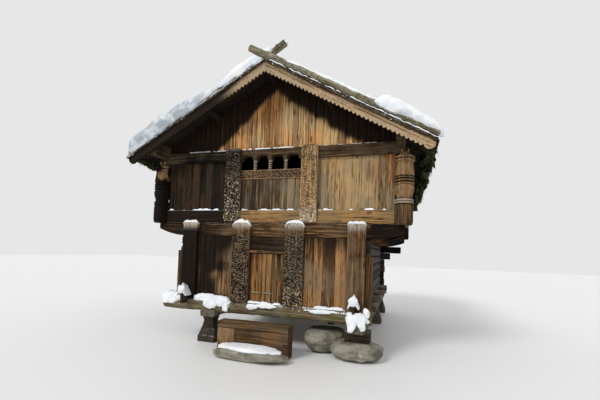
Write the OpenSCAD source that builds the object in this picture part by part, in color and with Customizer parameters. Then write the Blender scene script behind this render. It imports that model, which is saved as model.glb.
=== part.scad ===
// A raised timber granary: a log store room on legs and stones, a wider
// boarded upper storey with turned corner columns and a small arcade, and a
// low turf roof with toothed bargeboards and poles crossed over the ridge.
// Millimetres. +Z is up, the front looks along -Y, z = 0 is the ground.

/* [Ground storey] */
// Width over the outer edges of the front corner posts
front_w = 4600; // [4200:50:5200]
// Depth from the face of the posts to the back of the rear log wall
depth = 7000; // [6200:50:7800]
// Height of the sill's top above the ground
sill_top = 1050; // [950:10:1200]
// Number of log courses in the front and rear walls
courses = 6; // [5:1:7]
// Height of one log course
course_h = 260; // [230:5:280]
// Greatest thickness of a wall log
log_t = 200; // [160:5:220]
// Width of the flat where one log lies on the next
log_flat = 110; // [90:5:130]
// How far wall logs run on past the crossing at the rear corners
log_head = 150; // [80:5:220]

/* [Door and front] */
// Clear width between the carved door posts
door_w = 900; // [800:10:1000]
// Height of the doorway above the sill
door_h = 1170; // [1100:10:1280]
// Width of a carved door post
door_post_w = 450; // [380:5:480]
// Width of a corner post
corner_post_w = 400; // [340:5:440]
// Thickness of the posts that stand on the front
post_t = 100; // [80:5:120]
// Thickness of the wall boards
board_t = 40; // [30:1:50]
// Thickness of the door's boards
leaf_t = 45; // [35:1:55]
// Gap round the door leaf
leaf_gap = 10; // [6:1:14]
// Radius of the pins that the door turns on
pintle_r = 8; // [6:0.5:10]

/* [Jetty and upper storey] */
// How far the beams of the upper storey run out past the corner posts
jetty = 800; // [700:10:900]
// Height of the jetty beams
beam_h = 340; // [300:5:380]
// Height of the bottom rails of the upper walls
rail_h = 300; // [240:5:340]
// Height of the upper wall boards between rail and plate
panel_h = 1220; // [1100:10:1350]
// Height of the top plates
plate_h = 260; // [220:5:300]
// Depth of rails and plates
rail_d = 190; // [150:5:220]
// Radius of the corner columns at their rings
column_r = 203; // [180:1:212]
// Width of a carved pilaster
pilaster_w = 390; // [340:5:430]
// Clear width between the pilasters
arcade_w = 1560; // [1440:10:1700]
// Number of openings in the arcade
arcade_bays = 4; // [3:1:5]
// Height of the balusters, from the carved rail to the plate
arcade_h = 240; // [200:5:280]
// How far the openings reach up into the plate
arcade_rise = 115; // [80:5:130]
// Radius of the rounded upper corners of the openings
arcade_round = 75; // [40:5:100]
// Radius of the turned balusters at their widest
baluster_r = 38; // [28:1:42]

/* [Roof] */
// Half width of the roof, ridge to eave edge
roof_half = 3700; // [3500:10:3900]
// How far the eave edges lie below the top of the front plate
eave_drop = 213; // [150:1:280]
// Height that the roof rises over its half width
roof_rise = 2065; // [1900:5:2200]
// How far the roof runs out past the front and rear walls
overhang = 470; // [350:10:600]
// Thickness of the roof boards
roof_board_t = 45; // [35:1:60]
// Thickness of the bark laid on the boards
bark_t = 40; // [25:5:60]
// Thickness of the turf on the bark
turf_t = 110; // [80:5:150]
// Radius of the rake poles
pole_r = 92; // [65:1:100]
// How far the rake poles run on past their crossing
pole_tail = 500; // [350:10:650]
// Height of the bargeboards' plain part
barge_h = 190; // [160:5:220]
// Depth of the teeth below it
tooth_h = 50; // [35:1:60]
// Distance between teeth
tooth_pitch = 104; // [80:2:140]
// Thickness of the bargeboards
barge_t = 38; // [30:1:45]
// Radius of the purlins
purlin_r = 88; // [75:1:95]
// Radius of the logs that hold the turf at the eaves
eave_log_r = 75; // [60:1:90]

/* [Base] */
// Radius of the front sill log
sill_r = 185; // [170:5:210]
// Height of the long foundation beams
bearer_h = 310; // [270:5:340]
// Width of the long foundation beams
bearer_w = 400; // [340:5:440]
// How far the left foundation beam lies from the middle
bearer_left = 1500; // [1350:10:1650]
// Radius of the floor joists
joist_r = 85; // [75:1:95]
// Thickness of the floor boards
floor_t = 40; // [30:1:50]
// Width of a leg at its neck
leg_neck = 260; // [220:5:300]
// Width of a leg at its foot
leg_foot = 480; // [420:5:540]
// Height of the doorstep block
step_h = 690; // [600:10:720]
// Height of the doorstep stone
stone_h = 210; // [160:5:260]

/* [Hidden] */
$fn = 48;

// Clearance where one timber is let into another
fit = 0.3;
eps = 1;

// Levels
storey_h = courses * course_h;
beam_z = sill_top + storey_h;
rail_z = beam_z + beam_h;
panel_z = rail_z + rail_h;
plate_z = panel_z + panel_h;
plate_top = plate_z + plate_h;

// Plan of the ground storey. Its front plane, y = 0, is the face of the posts.
half_w = front_w / 2;
wall_y = post_t + log_t / 2;
rear_y = depth - log_t / 2;
side_x = half_w - corner_post_w / 2;
board_y = post_t - board_t;
side_drop = course_h / 2;

// Plan of the upper storey
beam_half = half_w + jetty;
rail_y = post_t - 20;
rail_mid = rail_y + rail_d / 2;
rear_mid = depth - rail_mid;
rail_out = beam_half - 20;
rail_in = rail_out - rail_d;
side_mid = rail_out - rail_d / 2;
panel_y = rail_mid - board_t;

// The columns stand round the corners of the upper storey, sunk a little into the beams
column_x = beam_half - 30;
column_y = rail_y + 20;
column_ys = [column_y, depth - column_y];
column_foot = rail_z - 30;

// Roof
slope = atan(roof_rise / roof_half);
roof_front = -overhang;
roof_rear = depth + overhang;
ridge_z = plate_top - eave_drop + roof_rise;
pole_y = roof_front + pole_r;
pole_rise = (bark_t + pole_r + fit) / cos(slope);
under_roof = roof_board_t / cos(slope);
function under_z(x) = ridge_z - under_roof - abs(x) * tan(slope);

// Base
sill_mid = post_t + log_t / 2 - 15;
sill_h = 320;
bearer_top = sill_top - side_drop;
bearer_z = bearer_top - bearer_h;
bearer_x = side_x - log_t / 2 + bearer_w / 2 - 15;
bearer_xs = [bearer_x, -bearer_left];
stone_front = -1000;

// The whole plan is centred on the origin
plan_shift = -(stone_front + roof_rear + barge_t) / 2;

module set_plan() { translate([0, plan_shift, 0]) children(); }

// Extrusions along an axis. The outline's first axis lies level, its second is up.
module along_y(y0, y1) { translate([0, y1, 0]) rotate([90, 0, 0]) linear_extrude(y1 - y0) children(); }
module along_x(x0, x1) { translate([x0, 0, 0]) rotate([90, 0, 90]) linear_extrude(x1 - x0) children(); }
module box(lo, hi) { translate(lo) cube(hi - lo); }
module both_sides() { children(); mirror([1, 0, 0]) children(); }

// Section of a wall log: two arcs between flats, standing on the outline's first axis
module log_section(h = course_h) {
    bulge = (log_t - log_flat) / 2;
    r = (pow(course_h / 2, 2) + pow(bulge, 2)) / (2 * bulge);
    intersection() {
        translate([log_t / 2 - r, course_h / 2]) circle(r, $fn = 96);
        translate([r - log_t / 2, course_h / 2]) circle(r, $fn = 96);
        translate([-log_t / 2, 0]) square([log_t, h]);
    }
}

module log_stack(n) { for (i = [0 : n - 1]) translate([0, i * course_h]) log_section(); }

// Boxes that cut a wall's logs down to their half-height necks where two walls cross.
// z0 is the foot of the lowest log, and the necks keep the middle half of each.
module crossing_cuts(lo, hi, z0, n) {
    for (i = [0 : n])
        box([lo[0], lo[1], z0 + i * course_h - course_h / 4], [hi[0], hi[1], z0 + i * course_h + course_h / 4]);
}

module side_crossings() {
    reach = log_t / 2;
    for (y = [wall_y, rear_y])
        crossing_cuts([side_x - reach, y - reach], [side_x + reach, y + reach],
            sill_top - side_drop, courses + 1);
}

module front_crossings(y) {
    reach = log_t / 2;
    both_sides() crossing_cuts([side_x - reach, y - reach], [side_x + reach, y + reach],
        sill_top, courses);
}

// The lowest side log ends in a six-sided head in front of each corner post
head_out = 250;
head_w = 215;
head_h = 370;
module side_wall() {
    difference() {
        union() {
            translate([side_x, 0, sill_top - side_drop])
                along_y(post_t, depth + log_head) log_stack(courses);
            translate([side_x, 0, sill_top + storey_h - side_drop])
                along_y(post_t, depth + log_head) log_section(side_drop);
            translate([side_x, 0, sill_top - side_drop]) along_y(0, post_t) log_section();
            translate([side_x, 0, bearer_top]) along_y(-head_out, 0) polygon([for (p = [[0, 0], [1, 0.27], [1, 0.73],
                [0, 1], [-1, 0.73], [-1, 0.27]]) [p[0] * head_w / 2, p[1] * head_h]]);
        }
        side_crossings();
        sill_notch();
        for (y = joist_ys) translate([0, y, joist_z]) rotate([0, 90, 0])
            cylinder(r = joist_r + fit, h = half_w);
    }
}

// Where the first side log saddles the front and rear sills
sill_lap = sill_top - side_drop / 2;
module sill_notch() {
    box([side_x - log_t, sill_mid - sill_r, sill_top - sill_h], [side_x + log_t, sill_mid + sill_r, sill_lap]);
    box([side_x - log_t, depth - sill_mid - sill_r, sill_top - sill_h],
        [side_x + log_t, depth - sill_mid + sill_r, sill_lap]);
}

joist_z = bearer_top + joist_r;
joist_in = 900;
joist_out = 200;
joist_ys = [for (i = [0 : 3]) joist_in + i * (depth - 2 * joist_in) / 3];

module side_wall_right() { color("saddlebrown") set_plan() side_wall(); }
module side_wall_left() { color("saddlebrown") set_plan() mirror([1, 0, 0]) side_wall(); }

// The two top logs of the rear wall run out in steps and carry the ends of the rear jetty beam
corbel_out = [half_w + 260, beam_half - 130];
module rear_wall() {
    reach = side_x + log_t / 2 + log_head;
    color("saddlebrown") set_plan() difference() {
        translate([0, rear_y, sill_top]) union() {
            along_x(-reach, reach) log_stack(courses - 2);
            for (i = [0, 1]) translate([0, 0, (courses - 2 + i) * course_h])
                along_x(-corbel_out[i], corbel_out[i]) log_section();
        }
        front_crossings(rear_y);
    }
}

// Between the front logs and the door posts a gap is left, which the posts cover
door_log_gap = 70;
front_head = 140;
module front_wall() {
    color("saddlebrown") set_plan() both_sides() difference() {
        translate([0, wall_y, sill_top]) along_x(door_w / 2 + door_log_gap, half_w + front_head) log_stack(courses);
        front_crossings(wall_y);
    }
}

module front_wall_over_door() {
    color("saddlebrown") set_plan() intersection() {
        translate([0, wall_y, sill_top])
            along_x(-door_w / 2 - door_log_gap, door_w / 2 + door_log_gap) log_stack(courses);
        box([-door_w, 0, sill_top + door_h + 30], [door_w, depth, beam_z]);
    }
}

module front_boards() {
    color("peru") set_plan() both_sides()
        box([door_w / 2 + door_post_w, board_y, sill_top], [half_w - corner_post_w, post_t, beam_z]);
}

// Boards that cover the heads of the front logs beside the corner posts
module corner_boards() {
    color("peru") set_plan() both_sides()
        box([half_w, board_y, sill_top], [half_w + front_head + 20, post_t, sill_top + 0.75 * storey_h]);
}

module door_lintel() {
    color("peru") set_plan() union() {
        box([-door_w / 2, board_y, sill_top + door_h], [door_w / 2, post_t, beam_z]);
        box([-door_w / 2, board_y - 30, sill_top + door_h], [door_w / 2, board_y, sill_top + door_h + 60]);
    }
}

// Outline with a flat foot and two rounded upper corners, for posts and openings
module round_headed(w, h, round_r) {
    translate([-w / 2, 0]) square([w, h - round_r]);
    translate([-w / 2 + round_r, 0]) square([w - 2 * round_r, h]);
    for (x = [-1, 1]) translate([x * (w / 2 - round_r), h - round_r]) circle(round_r);
}

module corner_posts() {
    foot = sill_top - 40;
    color("sienna") set_plan() both_sides() difference() {
        translate([side_x, 0, foot]) along_y(0, post_t) round_headed(corner_post_w, rail_z - foot, 45);
        translate([side_x, 0, sill_top - side_drop]) along_y(-eps, post_t + eps) log_section();
        translate([0, sill_mid, sill_top - sill_h / 2]) along_x(0, half_w + eps) circle(sill_r, $fn = 96);
    }
}

module door_posts() {
    foot = sill_top - 140;
    color("sienna") set_plan() both_sides() difference() {
        translate([door_w / 2 + door_post_w / 2, 0, foot]) along_y(0, post_t)
            round_headed(door_post_w, rail_z - foot, 110);
        translate([0, sill_mid, sill_top - sill_h / 2]) along_x(0, half_w) circle(sill_r, $fn = 96);
    }
}

// Door: boards with two battens inside, hung on two pins on the left
leaf_z = sill_top + 12;
leaf_h = door_h - 24;
hinge_x = -door_w / 2 + leaf_gap;
hinge_y = board_y + leaf_t + pintle_r + 10;
eye_h = 50;
eye_r = pintle_r + 8;
hinge_zs = [leaf_z + 190, leaf_z + leaf_h - 190];

module door_leaf() {
    right = door_w / 2 - leaf_gap;
    inside = board_y + leaf_t;
    color("tan") set_plan() union() {
        box([hinge_x, board_y, leaf_z], [right, inside, leaf_z + leaf_h]);
        for (z = hinge_zs)
            box([hinge_x + 110, inside, z - 160], [right - 60, inside + 30, z - 60]);
    }
}

module door_hinges() {
    inside = board_y + leaf_t;
    color("dimgray") set_plan() for (z = hinge_zs) difference() {
        union() {
            translate([hinge_x, hinge_y, z - eye_h / 2]) cylinder(r = eye_r, h = eye_h);
            box([hinge_x, inside, z - eye_h / 2], [hinge_x + 520, inside + 6, z + eye_h / 2]);
        }
        translate([hinge_x, hinge_y, z - eye_h]) cylinder(r = pintle_r + 0.5, h = 2 * eye_h);
    }
}

module door_pintles() {
    wall_edge = -door_w / 2 - door_log_gap;
    color("dimgray") set_plan() for (z = hinge_zs) union() {
        translate([hinge_x, hinge_y, z - eye_h / 2 - 26]) cylinder(r = pintle_r, h = eye_h + 36);
        box([wall_edge, hinge_y - pintle_r, z - eye_h / 2 - 26], [hinge_x, hinge_y + pintle_r, z - eye_h / 2 - 6]);
    }
}

// Jetty beams: hewn beams whose ends sweep up in an arc on the underside
beam_d = 260;
beam_rise = beam_h / 2;
module beam_outline() {
    start = half_w + 50;
    reach = beam_half - start;
    end_r = (pow(reach, 2) + pow(beam_rise, 2)) / (2 * beam_rise);
    difference() {
        translate([-beam_half, 0]) square([2 * beam_half, beam_h]);
        for (s = [0, 1]) mirror([s, 0]) translate([start, 0]) difference() {
            translate([0, -eps]) square([reach + post_t, beam_rise + post_t]);
            translate([0, end_r]) circle(end_r, $fn = 180);
        }
    }
}

module jetty_beams() {
    last = depth - post_t - beam_d;
    color("saddlebrown") set_plan() difference() {
        for (i = [0 : 4]) translate([0, 0, beam_z])
            along_y(post_t + i * (last - post_t) / 4, post_t + i * (last - post_t) / 4 + beam_d) beam_outline();
        column_holes(column_foot);
    }
}

module upper_floor() {
    inner = rail_in - 10;
    front = rail_y + rail_d;
    color("burlywood") set_plan() box([-inner, front, rail_z], [inner, depth - front, rail_z + floor_t]);
}

// Rails, boards and beam ends are hollowed for the turned columns
module column_holes(z0) {
    for (sx = [-1, 1], y = column_ys) translate([sx * column_x, y, z0 - fit])
        cylinder(r = column_r + fit, h = plate_z - z0 + 2 * fit, $fn = 96);
}

module upper_rails() {
    inner = rail_mid + rail_d / 2;
    color("saddlebrown") set_plan() difference() {
        union() {
            for (y = [rail_mid, rear_mid]) box([-rail_in, y - rail_d / 2, rail_z], [rail_in, y + rail_d / 2, panel_z]);
            both_sides() box([rail_in, inner, rail_z], [rail_out, depth - inner, panel_z]);
        }
        column_holes(column_foot);
    }
}

// Front and rear plates lie on the columns. The side plates are halved over them and run out
// under the eaves of the gables, and their tops follow the roof.
plate_lap = plate_z + plate_h / 2;
module side_plate_outline(z0) {
    polygon([[rail_in, z0], [rail_out, z0], [rail_out, under_z(rail_out) - fit], [rail_in, under_z(rail_in) - fit]]);
}

module end_plate(y) {
    difference() {
        box([-rail_out, y - rail_d / 2, plate_z], [rail_out, y + rail_d / 2, plate_top]);
        both_sides() box([rail_in, y - rail_d, plate_lap], [rail_out + eps, y + rail_d, plate_top + eps]);
    }
}
module end_plates() {
    color("saddlebrown") set_plan() {
        end_plate(rear_mid);
        difference() {
            end_plate(rail_mid);
            along_y(0, depth / 2) arcade_openings();
        }
    }
}

module side_plates() {
    inner = rail_mid + rail_d / 2;
    color("saddlebrown") set_plan() both_sides() union() {
        along_y(roof_front + 40, roof_rear - 40) side_plate_outline(plate_lap);
        along_y(inner, depth - inner) side_plate_outline(plate_z);
    }
}

pilaster_in = arcade_w / 2;
pilaster_out = pilaster_in + pilaster_w;

module front_panel() {
    difference() {
        box([arcade_in, panel_y, panel_z], [column_x, panel_y + board_t, plate_z]);
        column_holes(column_foot);
    }
}
module upper_wall_front_right() { color("peru") set_plan() front_panel(); }
module upper_wall_front_left() { color("peru") set_plan() mirror([1, 0, 0]) front_panel(); }

// Arcade: a carved rail, turned balusters, and round-cornered openings cut up into the plate
arcade_rail_h = 215;
arcade_bay = arcade_w / arcade_bays;
arcade_z = plate_z - arcade_h;
arcade_in = pilaster_in + pilaster_w / 2;
arcade_mid = -40;

module arcade_openings() {
    for (i = [0 : arcade_bays - 1]) translate([(i + 0.5) * arcade_bay - pilaster_in + arcade_mid, arcade_z])
        round_headed(arcade_bay - 2 * baluster_r - 16, arcade_h + arcade_rise, arcade_round);
}

module arcade_panel() {
    rail_foot = arcade_z - arcade_rail_h;
    color("peru") set_plan() union() {
        box([-arcade_in, panel_y, panel_z], [arcade_in, panel_y + board_t, rail_foot]);
        box([-arcade_in, panel_y - 20, rail_foot], [arcade_in, panel_y + 60, arcade_z]);
    }
}

module arcade_jambs() {
    color("peru") set_plan() for (x = [[-arcade_in, arcade_mid - pilaster_in], [arcade_mid + pilaster_in, arcade_in]])
        box([x[0], panel_y, arcade_z], [x[1], panel_y + board_t, plate_z]);
}

module balusters() {
    r = baluster_r;
    h = arcade_h;
    color("peru") set_plan() for (i = [1 : arcade_bays - 1])
        translate([i * arcade_bay - pilaster_in + arcade_mid, panel_y + board_t / 2, arcade_z]) rotate_extrude()
            polygon([[0, 0], [r, 0], [r, 0.1 * h], [0.55 * r, 0.16 * h], [0.8 * r, 0.3 * h], [0.85 * r, 0.42 * h],
                [0.5 * r, 0.6 * h], [0.45 * r, 0.74 * h], [0.8 * r, 0.8 * h], [0.8 * r, 0.86 * h], [0.6 * r, 0.9 * h],
                [r, 0.94 * h], [r, h], [0, h]]);
}

module pilasters() {
    color("sienna") set_plan() both_sides()
        translate([pilaster_in + pilaster_w / 2, 0, rail_z + 20]) along_y(0, rail_y)
            round_headed(pilaster_w, plate_top - rail_z, 25);
}

module side_panel() {
    difference() {
        box([side_mid - board_t / 2, rail_mid, panel_z], [side_mid + board_t / 2, rear_mid, plate_z]);
        column_holes(column_foot);
    }
}
module upper_wall_right() { color("peru") set_plan() side_panel(); }
module upper_wall_left() { color("peru") set_plan() mirror([1, 0, 0]) side_panel(); }

module upper_wall_rear() {
    color("peru") set_plan() difference() {
        box([-column_x, rear_mid, panel_z], [column_x, rear_mid + board_t, plate_z]);
        column_holes(column_foot);
    }
}

// Turned column, from the foot: drum, two rings, a vase, three rings, a longer vase, and a capital.
// The widths are parts of the radius, the heights parts of the column's height.
module column_profile() {
    h = plate_z - column_foot;
    drum = [[0.8, 0], [0.9, 0.025], [0.95, 0.06], [0.96, 0.27]];
    low_rings = [[0.84, 0.276], [0.84, 0.284], [0.95, 0.29], [0.95, 0.315], [0.86, 0.32], [0.86, 0.326], [0.95, 0.332],
        [0.95, 0.35], [0.84, 0.356]];
    low_vase = [[0.88, 0.37], [0.92, 0.41], [0.99, 0.47], [0.97, 0.51], [0.9, 0.54], [0.86, 0.552]];
    mid_rings = [[1, 0.558], [1, 0.58], [0.88, 0.586], [0.88, 0.592], [1, 0.598], [1, 0.62], [0.88, 0.626], [0.88, 0.632],
        [1, 0.638], [1, 0.655], [0.86, 0.662]];
    high_vase = [[0.93, 0.675], [0.96, 0.71], [0.92, 0.77], [0.88, 0.83], [0.86, 0.87]];
    capital = [[0.98, 0.878], [0.98, 0.9], [0.86, 0.906], [0.86, 0.912], [0.99, 0.92], [0.99, 0.945], [0.9, 0.955],
        [0.6, 0.968], [0.5, 0.975], [0.5, 1], [0, 1]];
    polygon([for (p = concat([[0, 0]], drum, low_rings, low_vase, mid_rings, high_vase, capital))
        [p[0] * column_r, column_foot + p[1] * h]]);
}

prong_x = 62;
prong_t = 36;
module corner_columns() {
    color("rosybrown") set_plan() for (sx = [-1, 1], sy = [0, 1])
        translate([sx * column_x, column_ys[sy], 0]) mirror([0, sy, 0]) union() {
            rotate_extrude($fn = 96) column_profile();
            for (x = [-prong_x, prong_x]) box([x - prong_t / 2, rail_y - column_y - prong_t, plate_z - 60],
                [x + prong_t / 2, rail_y - column_y, plate_z + 75]);
        }
}

// Roof planes. Distances across the slope are measured square to it.
module slope_slab(lift, thick, inset_front, inset_eave) {
    c = cos(slope);
    translate([0, 0, ridge_z]) along_y(roof_front + inset_front, roof_rear - inset_front) polygon([
        [0, lift / c], [0, (lift + thick) / c],
        [roof_half - inset_eave, (lift + thick) / c - (roof_half - inset_eave) * tan(slope)],
        [roof_half - inset_eave, lift / c - (roof_half - inset_eave) * tan(slope)]]);
}

module roof_boards_right() { color("dimgray") set_plan() slope_slab(-roof_board_t, roof_board_t, 0, 0); }
module roof_boards_left() { mirror([1, 0, 0]) roof_boards_right(); }

// Bark runs out over the edges of the boards. The turf lies on it between poles and eave logs.
turf_inset = 2 * pole_r + 10;
module bark_right() { color("black") set_plan() slope_slab(0, bark_t, 0, 0); }
module bark_left() { mirror([1, 0, 0]) bark_right(); }
module turf_right() { color("olivedrab") set_plan() slope_slab(bark_t + fit, turf_t, turf_inset, eave_log_in + eave_log_r + 5); }
module turf_left() { mirror([1, 0, 0]) turf_right(); }

// Gable boards, notched from above for the ridge purlin and the two side purlins
purlin_xs = [-side_mid / 2, 0, side_mid / 2];
function purlin_z(x) = under_z(x) - (purlin_r + fit) / cos(slope);
module gable(y) {
    edge = rail_in - fit;
    slot = purlin_r + fit;
    side_top = under_z(edge) - fit;
    color("goldenrod") set_plan() along_y(y, y + board_t) difference() {
        polygon([[-edge, plate_top], [edge, plate_top], [edge, side_top], [0, under_z(0) - fit], [-edge, side_top]]);
        for (x = purlin_xs) translate([x, purlin_z(x)]) rotate(-sign(x) * slope) {
            circle(slot);
            translate([-slot, 0]) square([2 * slot, 3 * slot]);
        }
    }
}
module gable_front() { gable(panel_y); }
module gable_rear() { gable(rear_mid); }

module purlins() {
    color("saddlebrown") set_plan() for (x = purlin_xs)
        translate([x, 0, purlin_z(x)]) along_y(roof_front + 30, roof_rear - 30) circle(purlin_r);
}

// Bargeboards: a plain board with a row of rounded teeth and a round lower end
barge_end = 220;
module barge_outline() {
    run = roof_half / cos(slope) - 15;
    lobe_r = (barge_h + tooth_h) / 2;
    n = floor((run - barge_end) / tooth_pitch);
    steps = 4;
    teeth = [for (i = [0 : n - 1], k = [0 : steps])
        [run - barge_end - (n - i - k / steps) * tooth_pitch, -barge_h - tooth_h * sin(180 * k / steps)]];
    rotate(-slope) {
        polygon(concat([[run, 0], [-barge_end, 0], [-barge_end, -barge_h]], teeth, [[run - lobe_r, -barge_h]]));
        translate([run - lobe_r, -lobe_r]) circle(lobe_r, $fn = 64);
    }
}

module bargeboards(y) {
    drop = 2 * roof_half;
    color("burlywood") set_plan() both_sides() translate([0, 0, ridge_z]) along_y(y, y + barge_t)
        intersection() { barge_outline(); translate([fit, -drop]) square([drop, 2 * drop]); }
}
module bargeboards_front() { bargeboards(roof_front - barge_t); }
module bargeboards_rear() { bargeboards(roof_rear); }

// Rake poles, halved into each other where they cross
module pole() {
    run = roof_half / cos(slope);
    translate([0, 0, pole_rise]) rotate([0, 90 + slope, 0])
        translate([0, 0, -pole_tail]) cylinder(r = pole_r, h = run + pole_tail);
}
// side is 1 for the pole that lies in front where they cross, -1 for the other
module rake_pole(side) {
    lap = pole_r / sin(slope) + 5;
    tall = 5 * pole_r;
    behind = side > 0 ? 0 : -2 * pole_r;
    translate([0, 0, ridge_z]) difference() {
        pole();
        box([-lap, behind, -tall], [lap, behind + 2 * pole_r, tall]);
    }
}
module rake_poles_right() {
    color("darkolivegreen") set_plan() for (y = [pole_y, depth - pole_y]) translate([0, y, 0]) rake_pole(1);
}
module rake_poles_left() {
    color("darkolivegreen") set_plan() mirror([1, 0, 0])
        for (y = [pole_y, depth - pole_y]) translate([0, y, 0]) rake_pole(-1);
}

eave_log_in = 110;
module eave_logs() {
    x = roof_half - eave_log_in;
    z = ridge_z - x * tan(slope) + (bark_t + eave_log_r + fit) / cos(slope);
    color("darkolivegreen") set_plan() both_sides() translate([x, 0, z])
        along_y(roof_front + turf_inset, roof_rear - turf_inset) circle(eave_log_r);
}

// Base
sill_left = 500;
sill_right = 150;
module sill_log(y) {
    translate([0, y, sill_top - sill_h / 2]) along_x(-half_w - sill_left, half_w + sill_right) intersection() {
        circle(sill_r, $fn = 96);
        square([2 * sill_r, sill_h], center = true);
    }
}

sill_ys = [sill_mid, depth - sill_mid];
bearer_lap = bearer_top - 130;
module sills() {
    reach = sill_r + eps;
    color("darkkhaki") set_plan() for (y = sill_ys) difference() {
        sill_log(y);
        both_sides() box([side_x - log_t / 2, y - reach, sill_lap], [side_x + log_t / 2, y + reach, sill_top + eps]);
        for (x = bearer_xs) box([x - bearer_w / 2, y - reach, sill_top - sill_h - eps],
            [x + bearer_w / 2, y + reach, bearer_lap]);
    }
}

module foundation_beams() {
    color("gray") set_plan() for (x = bearer_xs) difference() {
        box([x - bearer_w / 2, x > 0 ? -head_out - 20 : 0, bearer_z], [x + bearer_w / 2, depth, bearer_top]);
        for (y = sill_ys)
            box([x - bearer_w, y - sill_r, bearer_lap], [x + bearer_w, y + sill_r, bearer_top + eps]);
    }
}

// Joists lie across the foundation beams and run out through the side walls
module floor_joists() {
    inner = side_x - log_t / 2;
    reach = joist_r + eps;
    color("darkkhaki") set_plan() for (y = joist_ys) difference() {
        translate([0, y, joist_z]) along_x(-half_w - joist_out, half_w + joist_out) circle(joist_r);
        box([-inner, y - reach, sill_top - floor_t], [inner, y + reach, sill_top + joist_r]);
    }
}

module ground_floor() {
    inner = side_x - log_t / 2 - 5;
    front = sill_mid + sill_r + 5;
    color("burlywood") set_plan() box([-inner, front, sill_top - floor_t], [inner, depth - front, sill_top]);
}

// A leg whose four faces sweep out to a wide foot
module leg(h) {
    module face() {
        r = 1.1 * h;
        difference() {
            translate([-leg_foot / 2, 0]) square([leg_foot, h]);
            for (s = [-1, 1]) translate([s * (leg_neck / 2 + r), 0.95 * h]) circle(r, $fn = 120);
        }
    }
    intersection() {
        along_y(-leg_foot / 2, leg_foot / 2) face();
        along_x(-leg_foot / 2, leg_foot / 2) face();
    }
}

// The front right leg is a squared block on a boulder
rest_top = 340;
block_d = 420;
leg_ys = [leg_foot / 2 - 40, joist_ys[2], depth - leg_foot / 2 - 60];
module legs() {
    color("dimgray") set_plan() {
        box([bearer_x - 280, 0, rest_top], [bearer_x + 250, block_d, bearer_z]);
        for (x = bearer_xs, i = [0 : 2]) if (x < 0 || i > 0) translate([x, leg_ys[i], 0]) leg(bearer_z);
        translate([stub_x, joist_ys[0], pale_top]) cylinder(r = stub_r, h = joist_z - joist_r - pale_top);
    }
}

// Stones: an outline that draws in towards a flat top
module stone(outline, h, top_scale) {
    hull() {
        linear_extrude(0.1 * h) scale([0.92, 0.92]) polygon(outline);
        translate([0, 0, 0.1 * h]) linear_extrude(0.35 * h) polygon(outline);
        linear_extrude(h) scale([top_scale, top_scale]) polygon(outline);
    }
}

stub_x = 1420;
stub_r = 80;
pale_top = 540;
module foundation_stones() {
    color("gray") set_plan() {
        translate([bearer_x - 70, 190, 0])
            stone([[-450, -60], [-390, -270], [-120, -370], [230, -330], [480, -120], [520, 130], [360, 330], [-60, 390], [-370, 260]],
                rest_top, 0.68);
        translate([stub_x - 60, 620, 0])
            stone([[-460, -200], [-230, -470], [120, -510], [290, -260], [310, 120], [260, 420], [-80, 480], [-400, 280]],
                pale_top, 0.72);
    }
}

module doorstep_stone() {
    color("gray") set_plan() translate([120, -805, 0])
        stone([[-720, -40], [-560, -120], [-140, -185], [360, -190], [640, -110], [730, 20], [660, 150], [200, 180], [-500, 180], [-690, 100]],
            stone_h, 0.8);
}

// Doorstep: two upright blocks and a plank over both
module doorstep_block() {
    back = -300;
    front = back - 320;
    plank = step_h - 150;
    color("saddlebrown") set_plan() {
        box([-850, front, 0], [-420, back, plank]);
        box([-400, front, 0], [820, back, plank]);
        box([-850, front + 10, plank], [820, back, step_h]);
    }
}

foundation_stones();
doorstep_stone();
doorstep_block();
legs();
foundation_beams();
sills();
floor_joists();
ground_floor();
side_wall_left();
side_wall_right();
rear_wall();
front_wall();
front_wall_over_door();
front_boards();
corner_boards();
door_lintel();
corner_posts();
door_posts();
door_leaf();
door_hinges();
door_pintles();
jetty_beams();
upper_floor();
upper_rails();
upper_wall_front_left();
upper_wall_front_right();
arcade_panel();
arcade_jambs();
balusters();
pilasters();
upper_wall_left();
upper_wall_right();
upper_wall_rear();
corner_columns();
end_plates();
side_plates();
gable_front();
gable_rear();
purlins();
roof_boards_left();
roof_boards_right();
bark_left();
bark_right();
turf_left();
turf_right();
bargeboards_front();
bargeboards_rear();
rake_poles_left();
rake_poles_right();
eave_logs();
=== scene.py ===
"""A raised granary: CAD solids dressed with weathered timber, carving, turf and snow. Metres."""
import bpy
import numpy as np
from mathutils import Matrix, Vector


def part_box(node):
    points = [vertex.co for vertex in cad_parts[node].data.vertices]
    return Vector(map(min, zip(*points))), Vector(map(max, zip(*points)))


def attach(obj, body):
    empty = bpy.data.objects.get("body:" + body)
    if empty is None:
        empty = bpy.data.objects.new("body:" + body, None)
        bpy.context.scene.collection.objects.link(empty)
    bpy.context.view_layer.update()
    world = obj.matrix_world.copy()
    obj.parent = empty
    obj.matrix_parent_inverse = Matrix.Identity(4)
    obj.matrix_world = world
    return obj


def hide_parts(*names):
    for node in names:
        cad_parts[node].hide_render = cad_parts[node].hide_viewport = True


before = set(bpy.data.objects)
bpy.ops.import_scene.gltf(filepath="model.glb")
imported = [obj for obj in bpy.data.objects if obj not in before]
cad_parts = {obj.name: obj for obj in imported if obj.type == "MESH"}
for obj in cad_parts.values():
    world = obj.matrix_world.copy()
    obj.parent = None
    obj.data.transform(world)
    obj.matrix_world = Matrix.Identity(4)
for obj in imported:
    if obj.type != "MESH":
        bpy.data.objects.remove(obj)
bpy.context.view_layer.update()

# Camera
# It stands to the right of the door at about eye height on the lower ground in front, and is
# turned left towards the ridge. The picture's middle lies a little below its optical axis.
EYE = Vector((3.092, -10.681, 2.284))
TURN_LEFT, LOOK_UP, ROLL = np.radians([17.01, 1.97, 2.02])
FOCAL_PX = 340.7
AXIS_ROW = 240
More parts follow.
